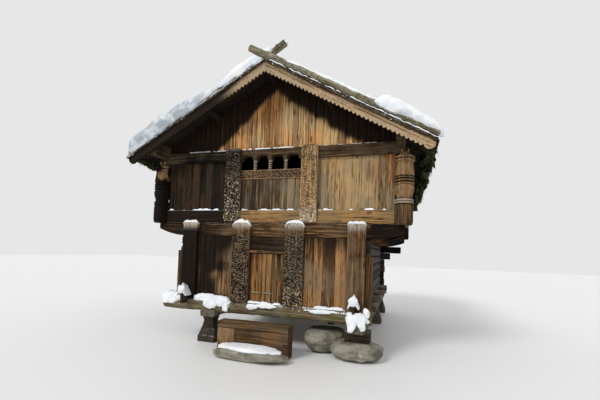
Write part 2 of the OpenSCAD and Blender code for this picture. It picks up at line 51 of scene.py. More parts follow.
WIDTH_PX, HEIGHT_PX = 600, 400


def add(name, data):
    """Puts a new object into the scene."""
    made = bpy.data.objects.new(name, data)
    bpy.context.collection.objects.link(made)
    return made


level = Vector((np.cos(TURN_LEFT), np.sin(TURN_LEFT), 0))
forward = Vector((-np.sin(TURN_LEFT) * np.cos(LOOK_UP), np.cos(TURN_LEFT) * np.cos(LOOK_UP), np.sin(LOOK_UP)))
upright = level.cross(forward)
right = level * np.cos(ROLL) + upright * np.sin(ROLL)
top = upright * np.cos(ROLL) - level * np.sin(ROLL)
camera = add("camera", bpy.data.cameras.new("camera"))
camera.data.sensor_width = 36
camera.data.lens = camera.data.sensor_width * FOCAL_PX / WIDTH_PX
camera.data.shift_y = (AXIS_ROW - HEIGHT_PX / 2) / WIDTH_PX
camera.data.clip_end = 200
camera.matrix_world = Matrix((*zip(right, top, -forward, EYE), (0, 0, 0, 1)))
scene = bpy.context.scene
scene.camera = camera
scene.view_settings.view_transform = "Standard"

# Floor and light
# A pale floor, a white studio all round, and one soft lamp from the front right.
FLOOR_HALF = 60


def new_material(name):
    """A new material with a plain shader."""
    made = bpy.data.materials.new(name)
    made.use_nodes = True
    return made


floor = add("floor", bpy.data.meshes.new("floor"))
floor.data.from_pydata([(FLOOR_HALF * x, FLOOR_HALF * y, 0) for x, y in ((-1, -1), (1, -1), (1, 1), (-1, 1))], [],
                       [(0, 1, 2, 3)])
pale = new_material("pale_floor")
pale.node_tree.nodes["Principled BSDF"].inputs["Base Color"].default_value = (0.8, 0.8, 0.8, 1)
floor.data.materials.append(pale)
scene.world = bpy.data.worlds.new("studio")
scene.world.use_nodes = True
studio = scene.world.node_tree.nodes["Background"].inputs
studio["Color"].default_value = (1, 1, 1, 1)
studio["Strength"].default_value = 0.8
key = add("key", bpy.data.lights.new("key", "SUN"))
key.data.energy = 1.5
key.data.angle = 0.3
key.rotation_euler = np.radians([50, 0, -30])

# Foundation stones
# Two boulders of grey field stone, one under the front right corner and one under the stub post.
# They are unhewn, with rounded arrises, chipped faces and lichen.


def wobble(points, wavelength, seed, octaves=3):
    """Smooth unevenness of about -1 to 1. Each octave is a sum of sine waves in seven random
    directions, half as long and half as strong as the octave before."""
    random = np.random.default_rng(seed)
    total = np.zeros(points.shape[:-1])
    for octave in range(octaves):
        waves = random.normal(size=(3, 7))
        waves *= 2 * np.pi * 2 ** octave / wavelength / np.linalg.norm(waves, axis=0)
        total += np.sin(points @ waves + random.uniform(0, 2 * np.pi, 7)).sum(-1) / 4 / 2 ** octave
    return total


def ease(low, high, value):
    """Rises from 0 at low to 1 at high along a smooth S."""
    t = np.clip((value - low) / (high - low), 0, 1)
    return t * t * (3 - 2 * t)


def around(cols):
    """The angles of a ring's points, once all round."""
    return np.linspace(0, 2 * np.pi, cols, endpoint=False)[None]


def xyz(*parts):
    """Arrays, each spread over the others' rows and columns, as one array of vectors."""
    return np.stack(np.broadcast_arrays(*parts), -1)


def shell(points, grain=None, mark=(0, 0, 0)):
    """One skin for a piece: its points, their places in the grain, and their marks, which are the tone, the
    share of end grain and the share of dark stain and painted shade."""
    return [(values + np.zeros_like(points))[None] for values in (points, points if grain is None else grain, mark)]


def piece(name, shells, material, replaces=None, body="building"):
    """Joins shells into one mesh. A shell holds skins of equal size as three arrays, points, grain and
    mark, each skins x rows x columns x 3. The columns close into rings, and each end row is closed by a
    fan to its middle. A skin whose volume comes out negative has its faces turned round."""
    layers, loops, starts = [[], [], []], [], []
    first = offset = 0
    for each in shells:
        skins, rows, cols, _ = each[0].shape
        full = [np.concatenate([a.reshape(skins, -1, 3), a[:, [0, -1]].mean(2)], 1) for a in each]
        ring = np.arange(cols)
        turn = (ring + 1) % cols
        row = np.arange(rows - 1)[:, None] * cols
        quads = xyz(row + ring, row + turn, row + cols + turn, row + cols + ring).reshape(-1, 4)
        last = (rows - 1) * cols
        fans = np.concatenate([xyz(rows * cols, turn, ring), xyz(rows * cols + 1, last + ring, last + turn)])
        corners = full[0][:, np.concatenate([quads[:, :3], quads[:, [0, 2, 3]], fans])]
        volume = (corners[:, :, 0] * np.cross(corners[:, :, 1], corners[:, :, 2])).sum((1, 2))
        base = (first + np.arange(skins) * (rows * cols + 2))[:, None, None]
        for faces in (quads, fans):
            faces = np.where((volume < 0)[:, None, None], faces[:, ::-1], faces) + base
            loops.append(faces.ravel())
            starts.append(offset + np.arange(faces.shape[0] * faces.shape[1]) * faces.shape[2])
            offset += faces.size
        first += skins * (rows * cols + 2)
        for layer, values in zip(layers, full):
            layer.append(values.reshape(-1, 3))
    points, grain, mark = [np.concatenate(layer).astype(np.float32) for layer in layers]
    loops, starts = np.concatenate(loops), np.concatenate(starts)
    mesh = bpy.data.meshes.new(name)
    mesh.vertices.add(len(points))
    mesh.vertices.foreach_set("co", points.ravel())
    mesh.loops.add(len(loops))
    mesh.loops.foreach_set("vertex_index", loops.astype(np.int32))
    mesh.polygons.add(len(starts))
    mesh.polygons.foreach_set("loop_start", starts.astype(np.int32))
    mesh.update(calc_edges=True)
    mesh.validate()
    for label, values in (("grain", grain), ("mark", mark)):
        mesh.attributes.new(label, "FLOAT_VECTOR", "POINT").data.foreach_set("vector", values.ravel())
    mesh.polygons.foreach_set("use_smooth", np.ones(len(mesh.polygons), bool))
    mesh.set_sharp_from_angle(angle=np.radians(40))
    mesh.materials.append(material)
    made = add(name, mesh)
    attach(made, body)
    if replaces:
        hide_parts(replaces)


def ball(rows, cols):
    """A sphere of radius 1: rows from pole to pole, with a ring on each."""
    lat, lon = np.linspace(-np.pi / 2, np.pi / 2, rows)[:, None], around(cols)
    return xyz(np.cos(lat) * np.cos(lon), np.cos(lat) * np.sin(lon), np.sin(lat))


def blob(middle, size, seed, rows=50, cols=80, flat=0.0, chips=0.05):
    """A boulder: a sphere drawn out to an ellipsoid with powers below 1, which square it up, then pushed
    out and in by a wobble, and cut level at its foot and, where flat says so, at its top."""
    unit = ball(rows, cols)
    points = np.sign(unit) * np.abs(unit) ** 0.8
    points *= (1 + 0.09 * wobble(unit, 1.7, seed) + chips * np.abs(wobble(unit, 0.7, seed + 1)))[..., None]
    points *= np.array(size) / 2
    points[..., 2] = np.clip(points[..., 2], -size[2] / 2, size[2] / 2 * (1 - flat))
    return shell(points + middle, mark=(0.5, 0, 0))


def srgb(colour):
    """A colour written as 0 to 255 in the picture's own scale, as the shader's linear colour."""
    c = np.array(colour) / 255
    return (*np.where(c < 0.04045, c / 12.92, ((c + 0.055) / 1.055) ** 2.4), 1.0)


class Term:
    """What one output in a node tree gives. Terms and numbers are joined with + - and *, each by a node."""

    def __init__(self, tree, socket):
        self.tree, self.socket = tree, socket

    def math(self, operation, other=0.0):
        return node(self.tree, "Math", {0: self, 1: other}, operation=operation)

    def __add__(self, other):
        return self.math("ADD", other)

    def __sub__(self, other):
        return self.math("SUBTRACT", other)

    def __mul__(self, other):
        return self.math("MULTIPLY", other)


def fill(socket, value):
    """Wires a term to an input, or sets the input to a number, a vector or a colour of 0 to 255."""
    if isinstance(value, Term):
        value.tree.links.new(value.socket, socket)
    else:
        socket.default_value = srgb(value) if socket.type == "RGBA" else value


def node(tree, kind, wired=(), out=0, **settings):
    """Adds a shader node with its settings and inputs, and gives back one of its outputs."""
    made = tree.nodes.new("ShaderNode" + kind)
    for key, value in settings.items():
        setattr(made, key, value)
    for key, value in dict(wired).items():
        fill(made.inputs[key], value)
    return Term(tree, made.outputs[out])


def outputs(term):
    """All outputs of the node that a term comes from."""
    return [Term(term.tree, socket) for socket in term.socket.node.outputs]


def parts(vector):
    """The three parts of a vector."""
    return outputs(node(vector.tree, "SeparateXYZ", {0: vector}))


def noise(vector, scale, detail=3.0, rough=0.55):
    """Smooth noise of 0 to 1 over a vector that is first stretched by one scale or three."""
    scale = [scale] * 3 if np.isscalar(scale) else scale
    stretched = node(vector.tree, "VectorMath", {0: vector, 1: scale}, operation="MULTIPLY")
    return node(vector.tree, "TexNoise", {"Vector": stretched, "Scale": 1.0, "Detail": detail, "Roughness": rough})


def spread(value, low, high, out_low=0.0, out_high=1.0):
    """Maps low to high onto a new range, smoothly, and holds it beyond."""
    return node(value.tree, "MapRange", {"Value": value, "From Min": low, "From Max": high, "To Min": out_low,
                                         "To Max": out_high}, interpolation_type="SMOOTHSTEP")


def blend(share, a, b):
    """Mixes colour b over colour a by a share."""
    return node(share.tree, "Mix", {0: share, 6: a, 7: b}, 2, data_type="RGBA")


def object_point(mat):
    """Where a point of the surface lies on the object."""
    return node(mat.node_tree, "TexCoord", out="Object")


def feed(mat, colour, roughness, height, depth, specular=0.3):
    """Wires a finished colour, roughness and height of a given depth to a material's shader."""
    shader = mat.node_tree.nodes["Principled BSDF"].inputs
    shader["Specular IOR Level"].default_value = specular
    bump = node(mat.node_tree, "Bump", {"Strength": 1.0, "Distance": depth, "Height": height})
    for label, value in (("Base Color", colour), ("Roughness", roughness), ("Normal", bump)):
        fill(shader[label], value)


field_stone = new_material("field_stone")
at = object_point(field_stone)
patch = noise(at, (3.1, 3.1, 4.0), 5)
mica = noise(at, 95, 2)
colour = blend(spread(patch, 0.36, 0.64), (96, 92, 81), (146, 141, 126))
colour = blend(spread(mica, 0.62, 0.72, 0, 0.5), colour, (34, 33, 32))
colour = blend(spread(noise(at, 9, 6, 0.7), 0.58, 0.66, 0, 0.7), colour, (174, 171, 152))
feed(field_stone, colour, spread(patch, 0.3, 0.7, 0.75, 0.95), noise(at, 28, 5, 0.7) * 0.8 + mica * 0.2, 0.012)
stones = [blob((2.14, -3.1, 0.19), (1.06, 0.9, 0.38), 3, flat=0.05),
          blob((1.38, -2.66, 0.26), (0.98, 1.0, 0.52), 8, flat=0.04)]
piece("boulders", stones, field_stone, "foundation_stones")

# Doorstep stone
# A long flat field stone in front of the step block, worn smooth on top.
slab = blob((0.09, -4.125, 0.125), (1.6, 0.47, 0.25), 15, flat=0.12, chips=0.03)
piece("step_slab", [slab], field_stone, "doorstep_stone")

# Doorstep block
# Two upright blocks of old timber with a thick plank over both, worn in the middle and split.
PLANK_T = 0.15


def box(name):
    """The lowest and highest corners of a CAD node."""
    return [np.array(corner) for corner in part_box(name)]


def bars(starts, ends, wide, w, t, r, rows=10, corner=4, edge=0.005, uneven=0.002, seed=1, shade=0.0):
    """Beams, boards or logs, all at once. A rounded rectangle, w wide along `wide` and t thick, with corners
    of radius r, is carried from each start to its end in `rows` steps. Its points are pushed out by uneven
    times a wobble of their place in the grain, and its two ends are drawn in by a small chamfer."""
    random = np.random.default_rng(seed)
    starts, ends = np.atleast_2d(starts).astype(float), np.atleast_2d(ends).astype(float)
    count = max(len(starts), len(ends))
    starts = np.broadcast_to(starts, (count, 3))
    run = np.broadcast_to(ends, (count, 3)) - starts
    length = np.linalg.norm(run, axis=1, keepdims=True)
    axis = run / length
    wide = np.broadcast_to(np.asarray(wide, float), (count, 3))
    wide = wide - (wide * axis).sum(1, keepdims=True) * axis
    wide = wide / np.linalg.norm(wide, axis=1, keepdims=True)
    thick = np.cross(axis, wide)
    inner = edge + np.linspace(0, 1, rows)[None] * (length - 2 * edge)
    along = np.concatenate([0 * length, inner, length], 1)
    cap = np.zeros(rows + 2)
    cap[[0, -1]] = 1
    sizes = []
    for size in (w, t, r):
        size = np.asarray(size, float)
        size = np.broadcast_to(size[:, None] if size.ndim == 1 else size, (count, rows))
        sizes.append(np.concatenate([size[:, :1], size, size[:, -1:]], 1))
    half_w, half_t = sizes[0] / 2 - edge * cap, sizes[1] / 2 - edge * cap
    radius = np.minimum(np.maximum(sizes[2] - edge * cap, 0.001), np.minimum(half_w, half_t) * 0.96)
    angle = np.radians((np.arange(4)[:, None] * 90 + np.linspace(0, 90, corner)).ravel())
    out = np.stack([np.cos(angle), np.sin(angle)], -1)
    quarter = np.repeat(np.array([[1, 1], [-1, 1], [-1, -1], [1, -1]]), corner, axis=0)
    section = [quarter[:, k] * (half - radius)[..., None] + out[:, k] * radius[..., None]
               for k, half in ((0, half_w), (1, half_t))]
    place = xyz(*section, along[..., None] + random.uniform(0, 60, (count, 1, 1)))
    push = uneven * wobble(place * [1, 1, 0.3], 0.16, seed)
    across, through = section[0] + push * out[:, 0], section[1] + push * out[:, 1]
    points = (starts[:, None, None] + across[..., None] * wide[:, None, None]
              + through[..., None] * thick[:, None, None] + along[..., None, None] * axis[:, None, None])
    return points, place, xyz(random.uniform(0, 1, (count, 1, 1)), cap[None, :, None], shade + 0 * across)


def beam(lo, hi, seed, r=0.02, axis=0, **more):
    """One squared timber that fills the box from lo to hi, with its grain along an axis."""
    lo, hi = np.array(lo, float), np.array(hi, float)
    start, end = (lo + hi) / 2, (lo + hi) / 2
    start[axis], end[axis] = lo[axis], hi[axis]
    side, other = (axis + 1) % 3, (axis + 2) % 3
    return bars(start, end, np.eye(3)[side], hi[side] - lo[side], hi[other] - lo[other], r, seed=seed, **more)


def timber_group():
    """Old wood that follows each piece's grain: fibres, streaks, grey weathering, dark stain and painted shade
    where a mark asks for them, long checks, a few knots, growth rings on the ends, and frost on what faces up."""
    tree = bpy.data.node_groups.new("timber", "ShaderNodeTree")

    def socket(label, kind, way="INPUT"):
        return tree.interface.new_socket(label, in_out=way, socket_type="NodeSocket" + kind)

    for label in ("Light", "Dark", "Deep", "Grey", "Warm"):
        socket(label, "Color")
    for label, value in (("Greyness", 0.4), ("Streaks", 1.0), ("Checks", 1.0), ("Frost", 0.0), ("Warmth", 0.0),
                         ("Fleck", 0.0), ("Rime", 0.0)):
        socket(label, "Float").default_value = value
    socket("Grain", "Vector")
    for label, kind in (("Color", "Color"), ("Roughness", "Float"), ("Height", "Float")):
        socket(label, kind, "OUTPUT")
    given = {source.name: Term(tree, source) for source in tree.nodes.new("NodeGroupInput").outputs}
    along = node(tree, "Attribute", out="Vector", attribute_name="grain")
    grain = node(tree, "VectorMath", {0: along, 1: given["Grain"]}, operation="ADD")
    tone, cap, shade = parts(node(tree, "Attribute", out="Vector", attribute_name="mark"))
    at = node(tree, "TexCoord", out="Object")
    fibre = noise(grain, (130, 130, 4.0), 3, 0.6)
    streak = noise(grain, (31, 31, 0.85), 5, 0.62)
    band = noise(grain, (13, 13, 0.7), 2)
    dash = noise(grain, (52, 52, 7), 3, 0.7)
    share = (streak - 0.5) * (given["Streaks"] * 2.6) + (fibre - 0.5) * 1.7 + (dash - 0.5) * 1.3 + (tone - 0.5) * 1.1
    share = spread(share + band, 0.2, 0.85)
    colour = blend(share, given["Dark"], given["Light"])
    grey = spread(noise(at, (1.5, 1.5, 1.1), 4) + streak * 0.5, 0.62, 0.92) * given["Greyness"]
    colour = blend(grey, colour, given["Grey"])
    warm = spread(noise(at, (2.6, 2.6, 1.3), 4) + (streak - 0.5) * 0.5, 0.5, 0.68)
    colour = blend(warm * given["Warmth"], colour, given["Warm"])
    # The mark's third part blends towards the deep colour: painted shade in most pieces, and dark stain in a few.
    shade_and_stain = spread(shade + streak * -0.9 + 0.45, 0.12, 0.95) * spread(shade, 0.0, 0.12)
    colour = blend(shade_and_stain, colour, given["Deep"])
    # Pale flecks on raised relief, where the mark holds little shade: partly snow caught in the carving, partly
    # painted highlight on its ridges.
    fleck = spread(shade, 0.35, 0.02) * spread(noise(at, 30), 0.5, 0.57)
    colour = blend(fleck * given["Fleck"], colour, (214, 194, 158))
    colour = blend(spread(noise(at, 44, 4), 0.3, 0.6) * given["Rime"], colour, (222, 216, 204))
    split = (noise(grain, (34, 34, 0.55), 2) - 0.5).math("ABSOLUTE")
    check = spread(split, 0.004, 0.018, 1, 0) * spread(band, 0.5, 0.6) * given["Checks"]
    cells = node(tree, "VectorMath", {0: grain, 1: (5.5, 5.5, 1.7)}, operation="MULTIPLY")
    knot = spread(node(tree, "TexVoronoi", {"Vector": cells, "Scale": 1.0}, "Distance"), 0.17, 0.1)
    colour = blend(knot * 0.65, colour, given["Deep"])
    x, y, _ = parts(grain)
    radius = (x.math("POWER", 2.0) + y.math("POWER", 2.0)).math("SQRT")
    rings = (radius * 700.0 + streak * 5.0).math("SINE")
    angle = y.math("ARCTAN2", x)
    spoke = node(tree, "CombineXYZ", {0: angle.math("SINE"), 1: angle.math("COSINE"), 2: tone})
    shake = spread((noise(spoke, (3.5, 3.5, 9), 1) - 0.5).math("ABSOLUTE"), 0.006, 0.02, 1, 0) * cap
    colour = blend(spread(rings, -0.6, 1, 0, 0.45) * cap, colour, given["Deep"])
    gaps = (check * (cap * -1.0 + 1.0)).math("MAXIMUM", shake)
    colour = blend(gaps * 0.85, colour, given["Deep"])
    facing = parts(node(tree, "NewGeometry", out="Normal"))[2]
    frost = spread(facing, 0.25, 0.6) * spread(noise(at, 24, 2), 0.42, 0.55) * given["Frost"]
    colour = blend(frost, colour, (226, 226, 224))
    made = tree.nodes.new("NodeGroupOutput").inputs
    fill(made["Color"], colour)
    fill(made["Roughness"], spread(share, 0, 1, 0.86, 0.7) + grey * 0.1)
    fill(made["Height"], fibre * 0.3 + streak * 0.6 - gaps * 1.4)
    return tree


timber = timber_group()


def steer(mat, **given):
    """Sets or wires inputs of the timber group in a material."""
    for label, value in given.items():
        fill(mat.node_tree.nodes["Group"].inputs[label.title()], value)


def timbered(mat, light, dark, deep, grey, greyness=0.4, streaks=1.0, **more):
    """Puts the timber group into a material with its own colours and shares, and gives back its outputs."""
    made = node(mat.node_tree, "Group", node_tree=timber)
    steer(mat, light=light, dark=dark, deep=deep, grey=grey, greyness=greyness, streaks=streaks, **more)
    return outputs(made)


def wood(name, *colours, **more):
    """A material of the timber group alone."""
    mat = new_material(name)
    feed(mat, *timbered(mat, *colours, **more), 0.006, 0.1)
    return mat


grey_wood = wood("grey_wood", (118, 106, 88), (66, 57, 46), (26, 21, 17), (122, 118, 108), 0.7, 0.8, frost=0.2)
step_wood = wood("step_wood", (152, 116, 74), (84, 61, 39), (28, 20, 14), (132, 118, 94), 0.6, 0.9,
                 warm=(158, 100, 52), warmth=0.4)
lo, hi = box("doorstep_block")
plank_z = hi[2] - PLANK_T
# Painted shade from the sill darkens the top plank, and the right block is darkened a little less.
steps = [beam((lo[0], lo[1], 0), (-0.42, hi[1], plank_z), 21, 0.03, axis=2, uneven=0.006, rows=16),
         beam((-0.4, lo[1], 0), (hi[0], hi[1], plank_z), 22, 0.03, rows=30, uneven=0.006, shade=0.5),
         beam((lo[0], lo[1] + 0.01, plank_z), hi, 23, 0.025, rows=40, uneven=0.006, shade=0.6)]
piece("step_block", steps, step_wood, "doorstep_block")

# Legs
# Hewn posts that draw in to a neck above a wide foot, so that mice can't climb them. The front right
# corner stands on a squared block, and a short stub post props the first joist. All are of pine.
FRONT_Y, REAR_Y = -3.254, 3.746
leg_wood = wood("leg_wood", (82, 70, 56), (44, 37, 30), (20, 17, 13), (92, 86, 76), 0.5, frost=0.2)
bearer_foot = box("foundation_beams")[0][2]
joist_ys = np.linspace(FRONT_Y + 0.9, REAR_Y - 0.9, 4)
leg_spots = [(-1.5, FRONT_Y + 0.2), (-1.5, joist_ys[2]), (-1.5, 3.446), (2.185, joist_ys[2]), (2.185, 3.446)]
z = np.linspace(0, bearer_foot, 44)
neck = 0.45 - 0.19 * ease(0.0, 1.0, (z - 0.15) / 0.4) ** 0.7 + 0.05 * ease(0.5, 0.61, z)
width = np.where(z > 0.15, neck, np.interp(z, [0, 0.14, 0.15], [0.48, 0.48, 0.45]))[None]
leg_set = [bars((x, y, 0), (x, y, bearer_foot), (1, 0, 0), width, width, 0.03, rows=44, corner=6, uneven=0.007,
                seed=31 + i) for i, (x, y) in enumerate(leg_spots)]
leg_set.append(beam((1.905, FRONT_Y, 0.33), (2.435, -2.834, bearer_foot), 38, 0.03, rows=14, uneven=0.008))
leg_set.append(bars((1.42, joist_ys[0], 0.53), (1.42, joist_ys[0], 0.935), (1, 0, 0), 0.16, 0.16, 0.075, seed=39,
                    corner=6))
piece("hewn_legs", leg_set, leg_wood, "legs")

# Foundation beams
# Two long squared timbers on the legs, front to back. The right one runs out in front of its leg.
lo, hi = box("foundation_beams")
bearers = [beam((-1.7, FRONT_Y, lo[2]), (-1.3, hi[1], hi[2]), 41, 0.05, axis=1, rows=70, uneven=0.008),
           beam((hi[0] - 0.4, lo[1], lo[2]), hi, 42, 0.09, axis=1, rows=70, uneven=0.01, corner=6)]
piece("bearers", bearers, grey_wood, "foundation_beams")

# Sills
# The front and rear sills are round logs hewn flat on top and below. Their ends run out past the corners.
SILL_D = 0.37
sill_wood = wood("sill_wood", (148, 132, 96), (86, 76, 54), (40, 34, 24), (132, 128, 104), 0.5, 1.2, frost=0.4)
lo, hi = box("sills")
sill_z = (lo[2] + hi[2]) / 2
sill_logs = [bars((lo[0], y, sill_z), (hi[0], y, sill_z), (0, 1, 0), SILL_D, hi[2] - lo[2], 0.12, rows=100, corner=8,
                  uneven=0.008, seed=44 + i) for i, y in enumerate((lo[1] + SILL_D / 2, hi[1] - SILL_D / 2))]
piece("sill_logs", sill_logs, sill_wood, "sills")

# Floor joists
# Round poles across the foundation beams. They run out through the side walls and show their ends.
lo, hi = box("floor_joists")
joist_z, joist_d = (lo[2] + hi[2]) / 2, hi[2] - lo[2]
joists = [bars((s * 1.95, y, joist_z), (s * hi[0], y, joist_z), (0, 1, 0), joist_d, joist_d, 0.083, corner=5,
               uneven=0.004, seed=50 + s + 2 * i) for i, y in enumerate(joist_ys) for s in (-1, 1)]
joists += [bars((-1.95, y, 0.965), (1.95, y, 0.965), (0, 1, 0), 0.15, 0.09, 0.04, rows=24, uneven=0.005, seed=60 + i)
           for i, y in enumerate(joist_ys)]
piece("joists", joists, grey_wood, "floor_joists")

# Ground floor
# Broad split boards, laid across the joists and worn in the middle of the room.
floor_wood = wood("floor_wood", (150, 124, 92), (98, 76, 54), (44, 33, 24), (132, 124, 110), 0.5)


def planks(origin, side, run, thick, narrow, broad, seed, joint=0.003, lift=0.004, rows=8):
    """A row of boards. `side` spans the row, `run` is a board's length and `thick` its thickness, as vectors.
    Widths are drawn between narrow and broad, then stretched to fill the row, and each board is set back
    a little by its own share of lift."""
    random = np.random.default_rng(seed)
    origin, side, run, thick = [np.array(v, float) for v in (origin, side, run, thick)]
    span, depth = np.linalg.norm(side), np.linalg.norm(thick)
    widths = random.uniform(narrow, broad, max(1, round(2 * span / (narrow + broad))))
    widths *= span / widths.sum()
    edges = np.concatenate([[0], np.cumsum(widths)])
    middles = (edges[1:] + edges[:-1])[:, None] / 2
    back = thick / depth * random.uniform(0, lift, (len(widths), 1))
    starts = origin + side / span * middles + thick / 2 + back
    return bars(starts, starts + run, side / span, widths - joint, depth - lift, 0.005, rows, 3, 0.003, 0.0015, seed)


def plank_box(lo, hi, side, run, narrow, broad, seed, face=1, **more):
    """Boards that fill the box from lo to hi, with the row along axis `side` and the boards along axis `run`.
    face says which way the boards look along the third axis, and lift sets them back from it."""
    lo, size = np.array(lo, float), np.array(hi, float) - lo
    third = np.eye(3)[3 - side - run] * size
    origin, thick = (lo + third, -third) if face > 0 else (lo, third)
    return planks(origin, size[side] * np.eye(3)[side], size[run] * np.eye(3)[run], thick, narrow, broad, seed, **more)


room_floor = plank_box(*box("ground_floor"), 1, 0, 0.2, 0.32, 71)
piece("room_floor", [room_floor], floor_wood, "ground_floor")

# Log walls of the ground storey
# Six courses of pine logs, rounded in section and notched over each other at the corners, where their
# heads stand out past the crossing. The lowest side log ends in a six-sided head in front.
SIDES = (("right", 1), ("left", -1))
COURSE = 0.26
SILL_TOP = 1.05
CORNER_X = 2.1
SIDE_Y0, FRONT_MID = FRONT_Y + 0.1, FRONT_Y + 0.2
HEAD_Z, HEAD_H = 1.105, 0.368
log_wood = wood("log_wood", (84, 66, 48), (46, 35, 25), (20, 15, 11), (78, 72, 66), 0.4, 1.1)
log_shadow = wood("log_shadow", (78, 68, 57), (40, 34, 28), (16, 13, 11), (76, 74, 72), 0.7, 1.1)


def log(start, end, z, t, seed, h=COURSE, shade=0.0):
    """A wall log from start to end (x, y): an oval, t thick and a course high, whose thickness swells and
    falls by a few millimetres along it."""
    random = np.random.default_rng(seed)
    swell = t * (1 + 0.02 * np.sin(np.linspace(0, random.uniform(9, 15), 38) + random.uniform(0, 6)))
    return bars((*start, z + h / 2), (*end, z + h / 2), (0, 0, 1), h - 0.004, swell[None], t * 0.42, rows=38, corner=5,
                edge=0.012, uneven=0.006, seed=seed, shade=shade)


for name, s in SIDES:
    x, rear = s * CORNER_X, box("side_wall_" + name)[1][1]
    logs = [log((x, SIDE_Y0 if i else -3.2), (x, rear - i % 2 * 0.03), SILL_TOP + (i - 0.5) * COURSE, 0.2,
                80 + 10 * s + i) for i in range(6)]
    logs.append(log((x, SIDE_Y0), (x, rear), SILL_TOP + 5.5 * COURSE, 0.19, 89 + 10 * s, h=COURSE / 2))
    piece("logs_" + name, logs, log_shadow, "side_wall_" + name)
    head = bars((x, -3.504, HEAD_Z), (x, -3.17, HEAD_Z), (1, 0, 0), 0.214, HEAD_H, 0.004, 14, 3, 0.01, 0.0, 101 + s)
    rise = np.abs(head[0][..., 2] - HEAD_Z) / (HEAD_H / 2)
    head[0][..., 0] = x + (head[0][..., 0] - x) * np.clip((1.04 - rise) / 0.5, 0.03, 1)
    piece("head_" + name, [head], log_wood)

rear_mid = np.mean(box("rear_wall"), 0)[1]
# Painted shade darkens the two top rear logs, whose ends stand out under the jetty.
logs = [log((-reach, rear_mid), (reach, rear_mid), SILL_TOP + i * COURSE, 0.2, 110 + i, shade=0.45 * max(0, i - 3))
        for i, reach in enumerate((2.35, 2.33, 2.36, 2.34, 2.56, 2.97))]
piece("logs_rear", logs, log_shadow, "rear_wall")
logs = [log((s * 0.52, FRONT_MID), (s * (2.44 - 0.02 * (i % 3)), FRONT_MID), SILL_TOP + i * COURSE, 0.195,
            120 + 10 * s + i) for i in range(6) for s in (-1, 1)]
piece("logs_front", logs, log_shadow, "front_wall")
logs = [log((-0.52, FRONT_MID), (0.52, FRONT_MID), z, 0.195, 140 + int(10 * z), h=h)
        for z, h in ((2.25, 0.1), (2.35, COURSE))]
piece("logs_over_door", logs, log_shadow, "front_wall_over_door")

# Front boards of the ground storey
# Upright pine boards nailed over the logs between the posts. Their upper ends are darkened in ragged tongues
# by painted shade under the jetty, and the left ones are darkened further by painted shade.
front_wood = wood("front_wood", (168, 122, 74), (68, 48, 31), (26, 18, 12), (124, 108, 84), 0.7, 1.5, warmth=0.3,
                  warm=(160, 106, 58))


def darken(made, more, most=1.0):
    """Adds to the dark stain and painted shade in a piece's marks, up to `most` in all."""
    made[2][..., 2] = np.clip(made[2][..., 2] + more, 0, most)
    return made


def hang_shade(boards, low, high, most, seed):
    """Darkens boards from height low to height high, in ragged tongues."""
    shade_jag = 0.25 * wobble(boards[0] * [1, 1, 0.25], 0.3, seed)
    return darken(boards, most * ease(low, high, boards[0][..., 2] + shade_jag))


def stray(made, most, wavelength, seed, stretch=(1, 1, 1)):
    """The points' places from left to right, moved by a wobble, so that the edge of painted shade strays by `most`."""
    return made[0][..., 0] + most * wobble(made[0] * stretch, wavelength, seed)


def cut(corners, axis, low, high):
    """A box's corners, with its reach along an axis changed."""
    corners = np.array(corners)
    corners[:, axis] = low, high
    return corners


front_box = box("front_boards")
front = [hang_shade(plank_box(*cut(front_box, 0, x0, x0 + 1), 0, 2, 0.15, 0.3, 151 + i, -1, joint=0.007, lift=0.012,
                              rows=24), 1.7, 2.75, 0.8, 5) for i, x0 in enumerate((0.9, -1.9))]
darken(front[1], 0.25 + 0.65 * ease(-1.1, -1.6, stray(front[1], 0.3, 0.5, 7, (1, 1, 0.6))), 0.95)
piece("front_planks", front, front_wood, "front_boards")

# Corner boards
# One upright board each side, which covers the heads of the front logs.
COVER_X = 2.302
cover_box = box("corner_boards")
covers = [beam(*cut(cover_box, 0, COVER_X, cover_box[1][0]), 161, 0.01, 2, rows=40, uneven=0.003, shade=0.75),
          beam(*cut(cover_box, 0, cover_box[0][0], -COVER_X), 162, 0.01, 2, rows=40, uneven=0.003, shade=0.7)]
piece("corner_covers", covers, front_wood, "corner_boards")

# Corner posts
# Broad planks in front of the corners, with rounded heads that lap over the jetty beam.
post_wood = wood("post_wood", (150, 114, 72), (74, 52, 34), (24, 17, 12), (122, 106, 82), 0.6, 1.5)


def by_height(mat, low, high, first, last):
    """A share that goes from first at height low to last at height high."""
    return spread(parts(object_point(mat))[2], low, high, first, last)


steer(post_wood, rime=by_height(post_wood, 2.7, 2.96, 0.0, 0.6))


